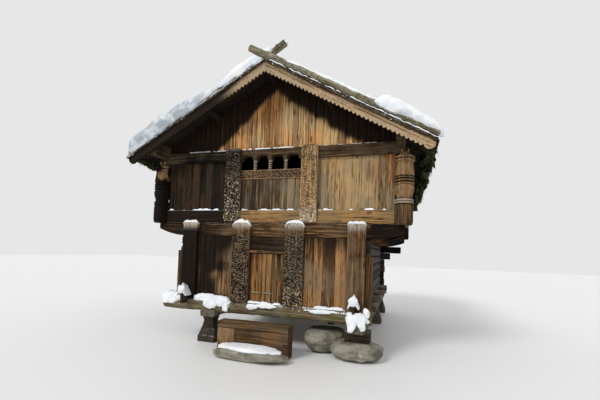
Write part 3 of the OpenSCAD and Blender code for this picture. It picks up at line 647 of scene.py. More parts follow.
def headed(x, w, corners, round_r, seed, rows=60, relief=None, cols=12, plain=0.0):
    """A broad upright plank whose head is drawn in by quarter circles of round_r. The front is a grid of
    points from edge to edge, which a relief function of across and height pushes in, from `plain` below
    the head down."""
    (_, y0, z0), (_, y1, z1) = corners
    curve = 0.86 + 0.1385 * np.sin(np.linspace(0, np.pi / 2, 16)[1:])
    z = z0 + (z1 - z0) * np.concatenate([[0], np.linspace(0.002, 0.86, rows), curve, [1]])
    below = np.clip(z1 - z, 0, round_r)
    half = w / 2 - round_r + np.sqrt(np.maximum(round_r ** 2 - (round_r - below) ** 2, 0))
    half = np.maximum(half - 0.006 * (z < z0 + 0.001), 0.3 * w)
    u = np.linspace(-1, 1, cols)
    back = np.array([[1, 0.12], [1, 0.5], [0.99, 1], [0, 1], [-0.99, 1], [-1, 0.5], [-1, 0.12]])
    ring = np.concatenate([np.stack([u, 0 * u], -1) * [0.985, 1], back])
    across = ring[:, 0] * half[:, None]
    height = z[:, None] + 0 * across
    place = xyz(across, ring[:, 1] * (y1 - y0), height + seed * 3.7)
    deep = place[..., 1] + 0.003 * wobble(place * [1, 1, 0.3], 0.2, seed)
    shade = 0
    if relief is not None:
        hollow = 1 - relief(across, height - z0)
        end = z1 - z0 - plain
        inside = (np.arange(len(ring)) < cols) * ease(1.0, 0.93, np.abs(across) / half[:, None])
        inside = inside * ease(end, end - 0.3, height - z0)
        deep = deep + inside * 0.022 * hollow
        # Hollows of the relief are darkened by painted shade, and random blotches darken a little more.
        shade = 0.55 * inside * hollow + 0.25 * inside * ease(0.1, 0.6, wobble(place * [1, 1, 0.9], 0.3, seed))
    tone = np.random.default_rng(seed).uniform()
    return shell(xyz(x + across, y0 + deep, height), place, xyz(tone, 0, shade))


corners = [headed(s * CORNER_X, 0.4, box("corner_posts"), 0.045, 171 + s) for s in (-1, 1)]
# Painted shade darkens the left corner post below its head.
darken(corners[0], ease(2.97, 2.75, corners[0][0][..., 2]))
x, _, z = np.moveaxis(corners[1][0], -1, 0)
darken(corners[1], 0.55 * ease(0.15, 0, np.abs(z - 2.25)) * ease(0, 0.1, x - 2.0))
piece("corner_planks", corners, post_wood, "corner_posts")

# Door posts
# Two broad planks beside the door, carved all over with scrolling stems and leaves, and round-headed.
JAMB_X = 0.675
carved_wood = wood("carved_wood", (126, 97, 60), (66, 50, 32), (17, 12, 9), (108, 92, 68), frost=0.3)
steer(carved_wood, fleck=by_height(carved_wood, 1.9, 1.1, 0.1, 0.8), rime=by_height(carved_wood, 2.74, 2.96, 0.0, 0.7))


def scrolls(pitch, stroke, seed):
    """Relief of a climbing stem: each stretch of one pitch holds a spiral that turns the other way from the
    last, the cosine of the polar angle plus the distance over the stroke. Leaves are the ridges of a
    wobble, one less three times its size, that runs all over the ground between."""
    def relief(across, height):
        flat = xyz(across, height, 0)
        leaves = 1 - 3.2 * np.abs(wobble(flat + 4, 0.8 * stroke, seed + 3, 2))
        lean = 0.02 * wobble(flat, 0.2, seed) + 0.008 * wobble(flat, 0.07, seed + 1)
        stretch = np.floor((height + lean) / pitch)
        v = height + lean - (stretch + 0.5) * pitch
        u = (across + lean) * np.where(stretch % 2 < 1, 1.0, -1.0)
        coil = np.cos(np.arctan2(v, u) + 2 * np.pi * np.hypot(u, v) / stroke)
        return ease(-0.85, 0.35, 0.45 * coil + 0.8 * leaves)
    return relief


jambs = [headed(s * JAMB_X, 0.45, box("door_posts"), 0.11, 181 + s, 290, scrolls(0.3, 0.1, 7 + s), 60, 0.12)
         for s in (-1, 1)]
# Painted shade darkens the left door post.
darken(jambs[0], 0.28, 0.9)
piece("carved_jambs", jambs, carved_wood, "door_posts")

# Door lintel
# Boards over the door with a small ledge below them.
LEDGE_H = 0.06
lintel_wood = wood("lintel_wood", (46, 34, 23), (22, 16, 11), (17, 12, 9), (74, 64, 52), 0.4, 1.4)
lo, hi = box("door_lintel")
foot = lo[2] + LEDGE_H
lintel = [beam((lo[0], -3.194, foot), (hi[0], hi[1], lo[2] + 0.21), 191, 0.008, rows=24),
          beam((lo[0], -3.19, lo[2] + 0.212), hi, 192, 0.008, rows=24)]
piece("lintel", lintel, lintel_wood, "door_lintel")
piece("lintel_ledge", [beam(lo, (hi[0], hi[1], foot), 193, 0.012, rows=24)], step_wood)

# Door
# Upright boards on two battens, which hangs on strap hinges inside and closes against the left post. A pale
# bar and a short upright are nailed across its lower left.
LEAF_T = 0.045
door_wood = wood("door_wood", (150, 108, 62), (40, 28, 18), (20, 14, 9), (122, 102, 74), 0.4, 2.0, warmth=0.35,
                 warm=(156, 100, 52))
lo, hi = box("door_leaf")
inner = lo[1] + LEAF_T
# Painted shade darkens the leaf's upper part, under the lintel, and its strip beside the left post.
leaf = hang_shade(plank_box(lo, (hi[0], inner, hi[2]), 0, 2, 0.12, 0.19, 203, -1, joint=0.009, lift=0.006, rows=24),
                  1.75, 2.5, 0.75, 6)
leaf[2][..., 2] = np.maximum(leaf[2][..., 2], 0.75 * ease(-0.26, -0.34, leaf[0][..., 0]))
battens = [beam((lo[0] + 0.11, inner, z - 0.16), (hi[0] - 0.06, hi[1], z - 0.06), 204 + int(z * 9), 0.01)
           for z in (lo[2] + 0.19, hi[2] - 0.19)]
piece("door", [leaf] + battens, door_wood, "door_leaf", body="door")
stick = [beam((-0.38, lo[1] - 0.02, 1.262), (0.15, lo[1] + 0.01, 1.3), 207, 0.006, rows=20),
         beam((0.085, lo[1] - 0.016, 1.075), (0.125, lo[1] + 0.01, 1.26), 208, 0.006, axis=2, rows=20)]
piece("door_bar", stick, sill_wood, body="door")

# Hinges and hooks
# Two forged straps across the inside of the door, and the hooks driven into the wall that they turn on.
# The iron is near black, with rust in its hollows.


def dress(name, mat):
    """Gives a CAD node a material."""
    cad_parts[name].data.materials.clear()
    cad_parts[name].data.materials.append(mat)


wrought_iron = new_material("wrought_iron")
at = object_point(wrought_iron)
rust = spread(noise(at, 22, 5, 0.7), 0.45, 0.62)
feed(wrought_iron, blend(rust, (46, 43, 41), (104, 62, 38)), spread(rust, 0, 1, 0.5, 0.9), noise(at, 60, 4, 0.6),
     0.002, 0.5)
dress("door_hinges", wrought_iron)
dress("door_pintles", wrought_iron)

# Jetty beams
# Hewn beams across the log walls. Their ends sweep up in an arc on the underside and carry the upper storey.
BEAM_W, BEAM_H = 0.258, 0.34
ARC_R, ARC_SHARE = 2.0, 0.17 / 0.1704
beam_wood = wood("beam_wood", (132, 98, 60), (54, 39, 26), (22, 15, 11), (100, 86, 66), 0.5, 1.7, frost=0.25)
lo, hi = box("jetty_beams")
z = (lo[2] + hi[2]) / 2
jetty = [bars((lo[0], y, z), (hi[0], y, z), (0, 1, 0), BEAM_W, BEAM_H, 0.025, rows=110, uneven=0.006, seed=211 + i)
         for i, y in enumerate(np.linspace(lo[1] + 0.13, hi[1] - 0.13, 5))]
# Painted shade darkens the ends of the beams behind the front one, and the front beam's left part and right end.
for i, beam_skin in enumerate(jetty):
    points = beam_skin[0]
    out = 1.07 * np.clip(np.abs(points[..., 0]) - 2.35, 0, 0.75)
    points[..., 2] += (hi[2] - points[..., 2]) / BEAM_H * (ARC_R - np.sqrt(ARC_R ** 2 - out ** 2)) * ARC_SHARE
    edge = stray(beam_skin, 0.3, 0.6, 14)
    darken(beam_skin, 0.85 * ease(2.3, 2.7, np.abs(points[..., 0])) if i else
           0.75 * ease(-0.7, -1.7, edge) + 0.9 * ease(2.25, 2.6, edge))
piece("jetty", jetty, beam_wood, "jetty_beams")

# Upper floor
# Boards over the jetty beams.
loft_floor = plank_box(*box("upper_floor"), 1, 0, 0.2, 0.3, 221)
piece("loft_floor", [loft_floor], floor_wood, "upper_floor")

# Upper rails
# Broad squared rails round the foot of the upper storey, grooved above for the wall boards.
RAIL_D = 0.19
rail_wood = wood("rail_wood", (156, 120, 74), (58, 42, 27), (26, 19, 13), (112, 98, 74), 0.5, 1.9, frost=0.25)
lo, hi = box("upper_rails")
rails = [beam((-2.89, y, lo[2]), (2.89, y + RAIL_D, hi[2]), 231 + i, rows=60, uneven=0.005)
         for i, y in enumerate((lo[1], hi[1] - RAIL_D))]
rails += [beam((x, lo[1] + RAIL_D, lo[2]), (x + RAIL_D, hi[1] - RAIL_D, hi[2]), 233 + i, axis=1, rows=60, uneven=0.005)
          for i, x in enumerate((lo[0], hi[0] - RAIL_D))]
# Painted shade darkens the front rail's left part, and a wobble darkens it a little in patches all along.
edge = stray(rails[0], 0.4, 0.3, 15, (0.5, 1, 1))
darken(rails[0], 0.95 * ease(-0.3, -1.3, edge) + 0.35 * ease(0.0, 0.5, edge - rails[0][0][..., 0]), 1.3)
piece("storey_rails", rails, rail_wood, "upper_rails")

# Upper walls
# Upright boards let into the rail and the plate. The front ones are grey and tan, rusty beside the right
# column, and near black on the left, where shade is painted into them.
upper_wood = wood("upper_wood", (178, 146, 100), (88, 68, 46), (34, 25, 17), (124, 118, 98), 0.8, 0.9, warmth=0.25,
                  warm=(150, 90, 46))
at = object_point(upper_wood)
x, _, z = parts(at)
rusty = spread(x, 2.3, 2.75) * spread(z, 3.3, 4.0) * spread(noise(at, (5, 5, 2.2)), 0.36, 0.6, 0.25, 1.0)
steer(upper_wood, greyness=spread(rusty, 0.0, 1.0, 0.8, 0.1), light=blend(rusty, (178, 146, 100), (176, 118, 70)),
      dark=blend(rusty, (88, 68, 46), (104, 64, 37)))
# The left front boards get a near black copy of the upper wood, which is painted shade.
upper_shaded_wood = wood("upper_shaded_wood", (58, 42, 28), (14, 11, 8), (10, 8, 6), (40, 36, 30), 0.5, 1.5, warmth=0.35,
                  warm=(84, 58, 36))
side_wood = wood("side_wood", (124, 104, 80), (70, 56, 42), (26, 20, 15), (116, 110, 102), 0.7, 1.1)
for name, mat, side, face, seed in (("front_right", upper_wood, 0, -1, 241), ("front_left", upper_shaded_wood, 0, -1, 242),
                                    ("right", side_wood, 1, 1, 243), ("left", side_wood, 1, -1, 244),
                                    ("rear", side_wood, 0, 1, 245)):
    boards = plank_box(*box("upper_wall_" + name), side, 2, 0.13, 0.24, seed, face, lift=0.009, rows=18)
    if name == "front_right":
        darken(boards, 0.4 * ease(0.25, 0.7, wobble(boards[0] * [1, 1, 0.35], 0.22, 16)))
    piece("planks_" + name, [boards], mat, "upper_wall_" + name)

# Arcade
# Boards under a carved rail, and turned balusters between openings that are cut up into the plate.
PANEL_Y = -3.119
CARVED_Z = 4.015
lo, hi = box("arcade_panel")
boards = plank_box((lo[0], PANEL_Y, lo[2]), (hi[0], PANEL_Y + 0.04, CARVED_Z), 0, 2, 0.13, 0.24, 251, -1, lift=0.008,
                   rows=18)
# Painted shade darkens the left half of the panel.
darken(boards, 0.6 * ease(0.0, -0.5, stray(boards, 0.2, 0.4, 12, (1, 1, 0.5))))
panel_wood = wood("panel_wood", (158, 126, 84), (66, 50, 34), (28, 20, 14), (112, 104, 88), 0.8, 1.8)
piece("arcade_planks", [boards], panel_wood, "arcade_panel")

# The carved rail is a level board whose front is a grid of points that the relief pushes in by up to 12 mm.
# Its hollows are darkened by painted shade.
x = np.concatenate([[lo[0]], np.linspace(lo[0] + 0.002, hi[0] - 0.002, 380), [hi[0]]])[:, None]
v = np.linspace(0, 1, 26)
ring = np.concatenate([np.stack([0 * v, v], -1), [[0.5, 1], [1, 1], [1, 0], [0.5, 0]]])
z = CARVED_Z + ring[:, 1] * (hi[2] - CARVED_Z)
face = (np.arange(len(ring)) < len(v)) * np.clip(np.minimum(ring[:, 1], 1 - ring[:, 1]) / 0.08, 0, 1)
hollow = face * (1 - scrolls(0.16, 0.05, 253)(z - (CARVED_Z + hi[2]) / 2, x - lo[0]))
y = lo[1] + ring[:, 0] * (hi[1] - lo[1]) + 0.012 * hollow
carved_rail = shell(xyz(x, y, z), xyz(z - CARVED_Z, y, x + 252), xyz(1 - 0.5 * face, 0, 0.85 * hollow))
arcade_wood = wood("arcade_wood", (140, 106, 66), (86, 62, 38), (22, 15, 10), (118, 100, 74), 0.5, 0.9, frost=0.2,
                   fleck=0.3)
piece("carved_rail", [carved_rail], arcade_wood)
jamb_box = box("arcade_jambs")
cheeks = [beam(*cut(jamb_box, 0, jamb_box[0][0], -0.82), 255, 0.006, 2),
          beam(*cut(jamb_box, 0, 0.74, jamb_box[1][0]), 256, 0.006, 2)]
piece("arcade_cheeks", cheeks, upper_wood, "arcade_jambs")


def turned(x, y, z0, line, seed, shade, cols=48, uneven=0.003, step=0.021):
    """A turned piece: a line through heights and radii, cut into steps no longer than `step`, is spun about
    an upright axis. The radius wobbles with the place in the grain."""
    heights, radii = line.T
    far = np.concatenate([[0], np.cumsum(np.hypot(np.diff(heights), np.diff(radii)))])
    cuts = [np.linspace(a, b, max(2, int((b - a) / step) + 2)) for a, b in zip(far[:-1], far[1:])]
    cuts = np.unique(np.concatenate([far] + cuts).round(5))
    z, r = np.interp(cuts, far, heights)[:, None], np.interp(cuts, far, radii)[:, None]
    angle = around(cols)
    place = xyz(r * np.cos(angle), r * np.sin(angle), z + seed * 5.1)
    r = r + uneven * wobble(place * [1, 1, 0.3], 0.15, seed) * (r > 0.02)
    points = xyz(x + r * np.cos(angle), y + r * np.sin(angle), z0 + z)
    return shell(points, place, xyz(0.5, 0, np.interp(z, *shade)))


SPINDLE_H, SPINDLE_R = 0.24, 0.045
baluster = np.array([0, 1, 0.07, 1, 0.1, 0.5, 0.14, 0.48, 0.17, 0.93, 0.25, 0.93, 0.28, 0.45, 0.33, 0.45, 0.36, 0.95,
                     0.45, 0.95, 0.48, 0.45, 0.53, 0.45, 0.56, 0.97, 0.65, 0.97, 0.68, 0.45, 0.73, 0.45, 0.77, 0.9,
                     0.86, 1, 1, 1.05]).reshape(-1, 2) * [SPINDLE_H, SPINDLE_R]
# The grooves of the balusters are darkened by painted shade.
groove_zs = [0.08, 0.1, 0.15, 0.17, 0.26, 0.28, 0.33, 0.36, 0.46, 0.48, 0.53, 0.56, 0.66, 0.68, 0.73, 0.76]
grooves = (SPINDLE_H * np.array(groove_zs), [0, 1, 1, 0] * 4)
spindles = [turned(x, PANEL_Y + 0.02, box("balusters")[0][2], baluster, 261 + i, grooves, 28, 0.0015, 0.012)
            for i, x in enumerate((-0.435, -0.04, 0.355))]
spindle_wood = wood("spindle_wood", (178, 158, 126), (112, 94, 72), (40, 30, 22), (160, 152, 138), 0.6, frost=0.4)
piece("spindles", spindles, spindle_wood, "balusters")

# Pilasters
# Broad planks beside the arcade, carved like the door posts, from the rail's foot to the plate's top. The
# left one stands in shade.
pilaster_wood = wood("pilaster_wood", (204, 166, 112), (138, 106, 70), (34, 24, 17), (154, 134, 104), frost=0.35)
steer(pilaster_wood, fleck=by_height(pilaster_wood, 3.6, 3.1, 0.15, 0.9),
      rime=by_height(pilaster_wood, 3.5, 3.0, 0.0, 0.4))
strip_shadow = wood("strip_shadow", (92, 71, 48), (40, 31, 22), (11, 9, 7), (78, 68, 54), frost=0.35)
steer(strip_shadow, fleck=by_height(strip_shadow, 4.3, 3.6, 0.0, 1.0),
      rime=by_height(strip_shadow, 4.68, 4.82, 0.0, 0.7))
strips = [headed(s * 0.975, 0.39, box("pilasters"), 0.03, 271 + s, 250, scrolls(0.28, 0.07, 9 + s), 56, -0.25)
          for s in (-1, 1)]
# The painted shade in the right strip's hollows is lessened.
strips[1][2][..., 2] *= 0.75
piece("carved_strip_left", strips[:1], strip_shadow, "pilasters")
piece("carved_strip_right", strips[1:], pilaster_wood)

# Corner columns
# Turned columns at the four corners of the upper storey: a drum, rings, a vase, three rings, a longer vase
# and a capital with two prongs.
COLUMN_H, COLUMN_R = 1.55, 0.203
COLUMN_X, COLUMN_YS = 3.07, (-3.154, 3.646)
RING_Z = 3.43
column_wood = wood("column_wood", (168, 126, 78), (90, 64, 40), (20, 14, 10), (128, 112, 88), 0.4, 0.8, checks=0.4)
# Pale rime on the crests of the lower rings, on the right-hand columns only: partly frost, partly painted highlight on
# the lit side.
x, _, z = parts(object_point(column_wood))
steer(column_wood, rime=spread((z - RING_Z).math("ABSOLUTE"), 0.065, 0.025, 0.0, 0.36) * spread(x, -1.0, 1.0))
profile = np.array([
    0, 0.8, 0.02, 0.9, 0.06, 0.94, 0.27, 0.94, 0.276, 0.84, 0.284, 0.84, 0.29, 0.95, 0.3025, 0.97, 0.315, 0.95,
    0.32, 0.86, 0.326, 0.86, 0.332, 0.95, 0.341, 0.965, 0.35, 0.95, 0.356, 0.8, 0.37, 0.79, 0.4, 0.83, 0.44, 0.92,
    0.475, 0.99, 0.505, 1.0, 0.53, 0.97, 0.552, 0.84, 0.558, 0.98, 0.569, 1.0, 0.58, 0.98, 0.586, 0.86,
    0.592, 0.86, 0.598, 0.98, 0.609, 1.0, 0.62, 0.98, 0.626, 0.86, 0.632, 0.86, 0.638, 0.98, 0.6465, 1.0,
    0.655, 0.97, 0.662, 0.86, 0.675, 0.95, 0.7, 0.985, 0.74, 0.95, 0.79, 0.89, 0.83, 0.86, 0.87, 0.84,
    0.878, 0.97, 0.889, 0.985, 0.9, 0.97, 0.906, 0.86, 0.912, 0.86, 0.92, 0.98, 0.932, 0.995, 0.945, 0.97,
    0.955, 0.9, 0.968, 0.6, 0.975, 0.5, 1, 0.5]).reshape(-1, 2) * [COLUMN_H, COLUMN_R]
# How much each height of a column is darkened: fully in the grooves between the rings, which is painted shade, and
# much on the drum at the foot.
hollows = np.array([
    0, 0.7, 0.27, 0.6, 0.28, 1, 0.3, 0, 0.322, 1, 0.34, 0, 0.356, 0.9, 0.38, 0.3, 0.55, 0.1, 0.57, 0.4, 0.589, 1,
    0.61, 0.3, 0.629, 1, 0.65, 0.3, 0.66, 1, 0.69, 0, 0.87, 0.3, 0.89, 0, 0.909, 0.8, 0.93, 0, 1, 0.3]).reshape(-1, 2)
columns = []
for i, (x, y) in enumerate([(s * COLUMN_X, y) for s in (-1, 1) for y in COLUMN_YS]):
    columns.append(turned(x, y, box("corner_columns")[0][2], profile, 281 + i, (hollows * [COLUMN_H, 1]).T))
    y0, y1 = sorted((y, y + np.sign(y) * 0.056))
    for side in (-0.062, 0.062):
        prong = beam((x + side - 0.018, y0, 4.41), (x + side + 0.018, y1, 4.54), 290 + i, 0.012, axis=2, rows=8)
        prong[2][..., 0] = 1.2
        columns.append(prong)
# Painted shade darkens the front left column below its capital, and the rear right column.
darken(columns[0], 0.9 * ease(4.38, 4.15, columns[0][0][..., 2] + 0.3 * wobble(columns[0][0], 0.5, 13)))
darken(columns[9], 0.6)
piece("turned_columns", columns, column_wood, "corner_columns")

# Plates
# Squared timbers on the columns. The front plate is cut by the tops of the arcade openings, and the side
# plates run out under the gable eaves, where they show their ends.
# The side plates, which lie under the eaves, are given darker colours than the end plates, as painted shade.
for name, light, dark, order in (("end_plates", (122, 92, 58), (54, 39, 26), (1, 2, 0)),
                                 ("side_plates", (86, 64, 42), (40, 30, 21), (0, 2, 1))):
    mat = wood(name + "_wood", light, dark, (28, 20, 14), (108, 92, 70), 0.5, 1.8)
    place = parts(object_point(mat))
    grain = node(mat.node_tree, "CombineXYZ", {i: place[source] for i, source in enumerate(order)})
    steer(mat, grain=grain)
    # Painted shade darkens the left ends of the end plates.
    if name == "end_plates":
        shaded = spread(place[0], -0.8, -1.5)
        steer(mat, light=blend(shaded, light, (30, 23, 17)), dark=blend(shaded, dark, (15, 12, 9)))
    dress(name, mat)

# Gables
# Upright boards from the plate to the roof, golden where the sun reaches, and darkened below the eaves by painted
# shadow.
ROOF_HALF, ROOF_RISE, RIDGE = 3.7, 2.065, 6.582
SLOPE = np.arctan2(ROOF_RISE, ROOF_HALF)
BOARD_T = 0.045
gable_wood = wood("gable_wood", (224, 180, 120), (128, 90, 54), (32, 22, 15), (160, 144, 112), 0.5, 1.4, warmth=0.55,
                  warm=(200, 136, 76))
rear_wood = wood("rear_wood", (140, 114, 84), (84, 64, 46), (30, 22, 16), (128, 122, 110), 0.7, 1.2)
for name, mat, face, joint in (("front", gable_wood, -1, 0.009), ("rear", rear_wood, 1, 0.002)):
    lo, hi = box("gable_" + name)
    boards = plank_box(lo, hi, 0, 2, 0.09, 0.19, 301 + face, face, joint=joint, lift=0.01, rows=20)
    points, place, mark = boards
    x, up = points[..., 0], points[..., 2] - lo[2]
    top_z = RIDGE - BOARD_T / np.cos(SLOPE) - np.abs(x) * np.tan(SLOPE)
    share = (top_z - lo[2]) / (hi[2] - lo[2])
    place[..., 2] += up * (share - 1)
    points[..., 2] = lo[2] + up * share
    # Painted shadow below the eaves: it reaches down from the roof line by `reach`, further on the left, with a jagged
    # edge.
    reach = 0.4 + 0.42 * np.clip(-x, 0, 2) + 0.14 * (ease(0.1, 0.8, x) + ease(0.9, 2.4, x))
    shade_jag = 0.06 * wobble(points * [1, 1, 0.2], 0.3, 11)
    mark[..., 2] = ease(reach + 0.12, reach - 0.16, top_z - points[..., 2] + shade_jag)
    piece("gable_planks_" + name, [boards], mat, "gable_" + name)

# Purlins
# Round pine poles that carry the roof boards from gable to gable and run out under the eaves.
# The purlins and roof boards are near black, which is painted shade under the roof.
roof_shaded_wood = wood("roof_shaded_wood", (46, 37, 28), (25, 20, 15), (11, 9, 7), (44, 40, 36), 0.4)
PURLIN_D = 0.172
lo, hi = box("purlins")
purlins = []
for i, x in enumerate((-1.4925, 0.0, 1.4925)):
    z = RIDGE - (BOARD_T + 0.0883) / np.cos(SLOPE) - abs(x) * np.tan(SLOPE)
    purlins.append(bars((x, lo[1], z), (x, hi[1], z), (1, 0, 0), PURLIN_D, PURLIN_D, 0.084, 60, 5, uneven=0.004,
                        seed=311 + i))
piece("purlin_poles", purlins, roof_shaded_wood, "purlins")

# Roof boards
# Boards down each slope, from the ridge to the eaves.
lo, hi = box("roof_boards_right")
for name, s in SIDES:
    thick = (BOARD_T - 0.004) * np.array([-s * np.sin(SLOPE), 0, -np.cos(SLOPE)])
    boards = planks((0, lo[1], RIDGE - 0.0005), (0, hi[1] - lo[1], 0), (s * ROOF_HALF, 0, -ROOF_RISE), thick, 0.14,
                    0.24, 321 + s, lift=0.006, rows=12)
    piece("roof_planks_" + name, [boards], roof_shaded_wood, "roof_boards_" + name)

# Birch bark
# Three layers of bark sheets over the boards keep the water out. Their torn edges stand out all round. Bark is
# near black and brown outside, with pale torn edges and frost in the folds.
ROOF_Y0, ROOF_Y1 = -3.724, 4.216
RUN = ROOF_HALF / np.cos(SLOPE)
birch_bark = new_material("birch_bark")
at = object_point(birch_bark)
torn = noise(node(birch_bark.node_tree, "Attribute", out="Vector", attribute_name="grain"), (3, 40, 40), 4, 0.7)
colour = blend(spread(torn, 0.35, 0.62), (22, 18, 15), (88, 73, 56))
colour = blend(spread(noise(at, 6, 4), 0.55, 0.68, 0, 0.6), colour, (150, 138, 116))
colour = blend(spread(noise(at, 13), 0.6, 0.66, 0, 0.9), colour, (222, 222, 220))
feed(birch_bark, colour, spread(torn, 0.3, 0.7, 0.6, 0.9), torn, 0.006)


def slope_point(s, lift, y, side):
    """A point on a roof slope: s down the slope from the ridge, lift square to it."""
    return xyz(side * (s * np.cos(SLOPE) + lift * np.sin(SLOPE)), y, RIDGE - s * np.sin(SLOPE) + lift * np.cos(SLOPE))


def mitred(s, lift, y, side, reach):
    """A point on a roof slope, drawn back towards the ridge by its lift, so that both slopes meet there."""
    return slope_point(s - lift * np.tan(SLOPE) * (1 - s / reach), lift, y, side)


def out_and_back(v):
    """A ring that goes out along v and back again, and which of its points lie on the way back."""
    return np.concatenate([v, v[::-1]])[None], np.repeat([0.0, 1.0], len(v))[None]


def bark_sheet(side, k, rows=150):
    """Layer k, a thin sheet down a slope: rows run down it, and the ring goes out across its top and back
    across its underside. Its edges are torn in and out by a wobble, and it lifts and falls in waves."""
    length, seed = RUN - 0.01 - 0.012 * k, 401 + 9 * k + side
    y0, y1 = ROOF_Y0 - 0.062 + 0.016 * k, ROOF_Y1 + 0.06 - 0.014 * k
    s = np.linspace(0.0, 1, rows)[:, None]
    v, under = out_and_back(np.concatenate([[0, 0.004, 0.012, 0.022, 0.035], np.linspace(0.1, 0.9, 6),
                                            [0.965, 0.978, 0.988, 0.996, 1]]))
    flat = xyz(s * length, 40 * np.round(v), side)
    torn = 0.016 * (wobble(flat, 0.45, seed) + 0.7 * wobble(flat, 0.07, seed + 1))
    y = y0 + v * (y1 - y0) + torn * (ease(0.97, 1, v) - ease(0.03, 0, v))
    down = xyz(0 * s, y, 3.0)
    far = 0.016 * (wobble(down, 0.5, seed + 2) + 0.7 * wobble(down, 0.09, seed + 3))
    far = s * (length + far * (s > 0.9))
    fall = 0.03 * (1 + 0.6 * wobble(flat + 2, 0.4, seed + 5)) * ease(0.035, 0.0, v)
    height = 0.005 + 0.015 * k + 0.009 * (1 - under) - fall + 0.004 * wobble(xyz(far, y, 0), 0.3, seed + 4)
    points = slope_point(far - height * np.tan(SLOPE) * (1 - s), height, y, side)
    return shell(points, xyz(y, far, height * 8), (0.5, 0, 0))


for name, side in SIDES:
    sheets = [bark_sheet(side, k) for k in range(3)]
    piece("bark_sheets_" + name, sheets, birch_bark, "bark_" + name)

# Turf
# Sods laid on the bark, with their grass yellow in winter, and moss between them. Tufts hang over the eaves.
TURF_Y0, TURF_Y1, TURF_RUN = -3.53, 4.022, 3.93


def turf_finish(name, straw, moss, soil):
    """Winter turf: straw, moss and bare soil in patches."""
    mat = new_material(name)
    at = object_point(mat)
    blade, tuft = noise(at, 60, 5, 0.75), noise(at, 15, 4, 0.6)
    colour = blend(spread(noise(at, 3.4, 5, 0.6), 0.42, 0.6), straw, moss)
    colour = blend(spread(tuft, 0.5, 0.66, 0, 0.8), colour, soil)
    colour = blend(spread(blade, 0.4, 0.7, 0, 0.5), colour, straw)
    feed(mat, colour, spread(tuft, 0.3, 0.7, 0.85, 1.0), blade * 0.4 + tuft * 0.6, 0.02, 0.15)
    return mat


def sod(side, seed, rows=130, cols=30):
    """One slope's turf: rows from gable to gable, and a ring across the slope and back below it. The top
    heaves by a wobble that both slopes share at the ridge."""
    y = np.linspace(TURF_Y0, TURF_Y1, rows)[:, None]
    s, under = out_and_back(np.linspace(0, 1, cols) * TURF_RUN)
    flat = xyz(s, y, 0)
    heave = 0.022 * wobble(flat, 0.5, seed) + 0.014 * wobble(flat, 0.12, seed + 1)
    edge = np.minimum(ease(0, 0.08, y - TURF_Y0), ease(0, 0.08, TURF_Y1 - y)) * ease(3.94, 3.84, s)
    height = 0.042 + (1 - under) * (0.11 * (0.45 + 0.55 * edge) + heave)
    return shell(mitred(s, height, y, side, TURF_RUN), mark=(0.5, 0, 0))


def blades(roots, lean, length, seed, width=0.006):
    """Grass: each blade is a thin three-sided spike of three rows from its root, drawn along its own lean and
    bent down by the square of the way along it."""
    random = np.random.default_rng(seed)
    count = len(roots)
    way = lean + random.normal(0, 0.35, (count, 3))
    way /= np.linalg.norm(way, axis=1, keepdims=True)
    part = np.array([0, 0.55, 1.0])[None, :, None, None]
    size = random.uniform(0.5, 1.3, (count, 1, 1, 1)) * length
    angle = np.radians([0, 120, 240]) + random.uniform(0, 2, (count, 1))
    ring = xyz(np.cos(angle), np.sin(angle), 0)[:, None] * width * (1.02 - part)
    spine = roots[:, None, None] + way[:, None, None] * part * size - np.array([0, 0, 0.45]) * part ** 2 * size
    points = spine + ring
    mark = xyz(random.uniform(0, 1, (count, 1, 1)), part[..., 0], 0)
    return points, points, mark + 0 * points


def tufts(middles, size, seed):
    """Clumps of moss and roots: balls drawn out by their own sizes, all at once, with a lumpy skin."""
    out = ball(11, 16)[None] * size * np.random.default_rng(seed).uniform(0.6, 1.3, (len(middles), 1, 1, 3))
    points = middles[:, None, None] + out / 2
    points = points + 0.3 * out * wobble(points, 0.14, seed)[..., None]
    return points, points, 0 * points + [0.5, 0, 0]


turf_mat = turf_finish("turf", (126, 112, 68), (66, 74, 36), (46, 37, 27))
eave_turf = turf_finish("eave_turf", (60, 60, 34), (34, 44, 20), (18, 17, 12))
for name, side in SIDES:
    random = np.random.default_rng(431 + side)
    eave_y = random.uniform(-3.6, 4.1, 1700)
    eave_y = eave_y[wobble(xyz(eave_y, 0, 0), 0.35, 433 + side) > -0.35]
    fringe = slope_point(3.98 + random.uniform(0.0, 0.2, len(eave_y)), random.uniform(0.0, 0.07, len(eave_y)),
                         eave_y, side)
    field = slope_point(random.uniform(0.1, 3.9, 700), 0.15, random.uniform(-3.5, 4.0, 700), side)
    clump_y = np.sort(random.uniform(-3.5, 4.12, 44))
    low = (0.12 + 0.2 * ease(-2, 4, clump_y)) * (1 if side > 0 else 0.3)
    clumps = slope_point(random.uniform(4.04, 4.2, 44), 0.04 - low * random.uniform(0.2, 1.6, 44), clump_y, side)
    grass = [blades(fringe, np.array([side * 0.15, 0, -1.0]), 0.15, 434 + side, 0.014),
             blades(field, np.array([side * 0.3, 0, 1.0]), 0.13, 436 + side),
             tufts(clumps, (0.16, 0.3, 0.26), 438 + side)]
    piece("sods_" + name, [sod(side, 441)], turf_mat, "turf_" + name)
    piece("grass_" + name, grass, eave_turf)

# Bargeboards
# Pine boards nailed to the roof's end grain. The lower edge is cut into round teeth and ends in a rounded
# lobe, and a darker fillet runs along the top.
barge_wood = wood("barge_wood", (176, 152, 118), (100, 73, 46), (30, 22, 15), (150, 136, 112), 0.5, 0.9)
BARGE_H, TOOTH_H, PITCH, BARGE_END = 0.19, 0.05, 0.104, 0.22


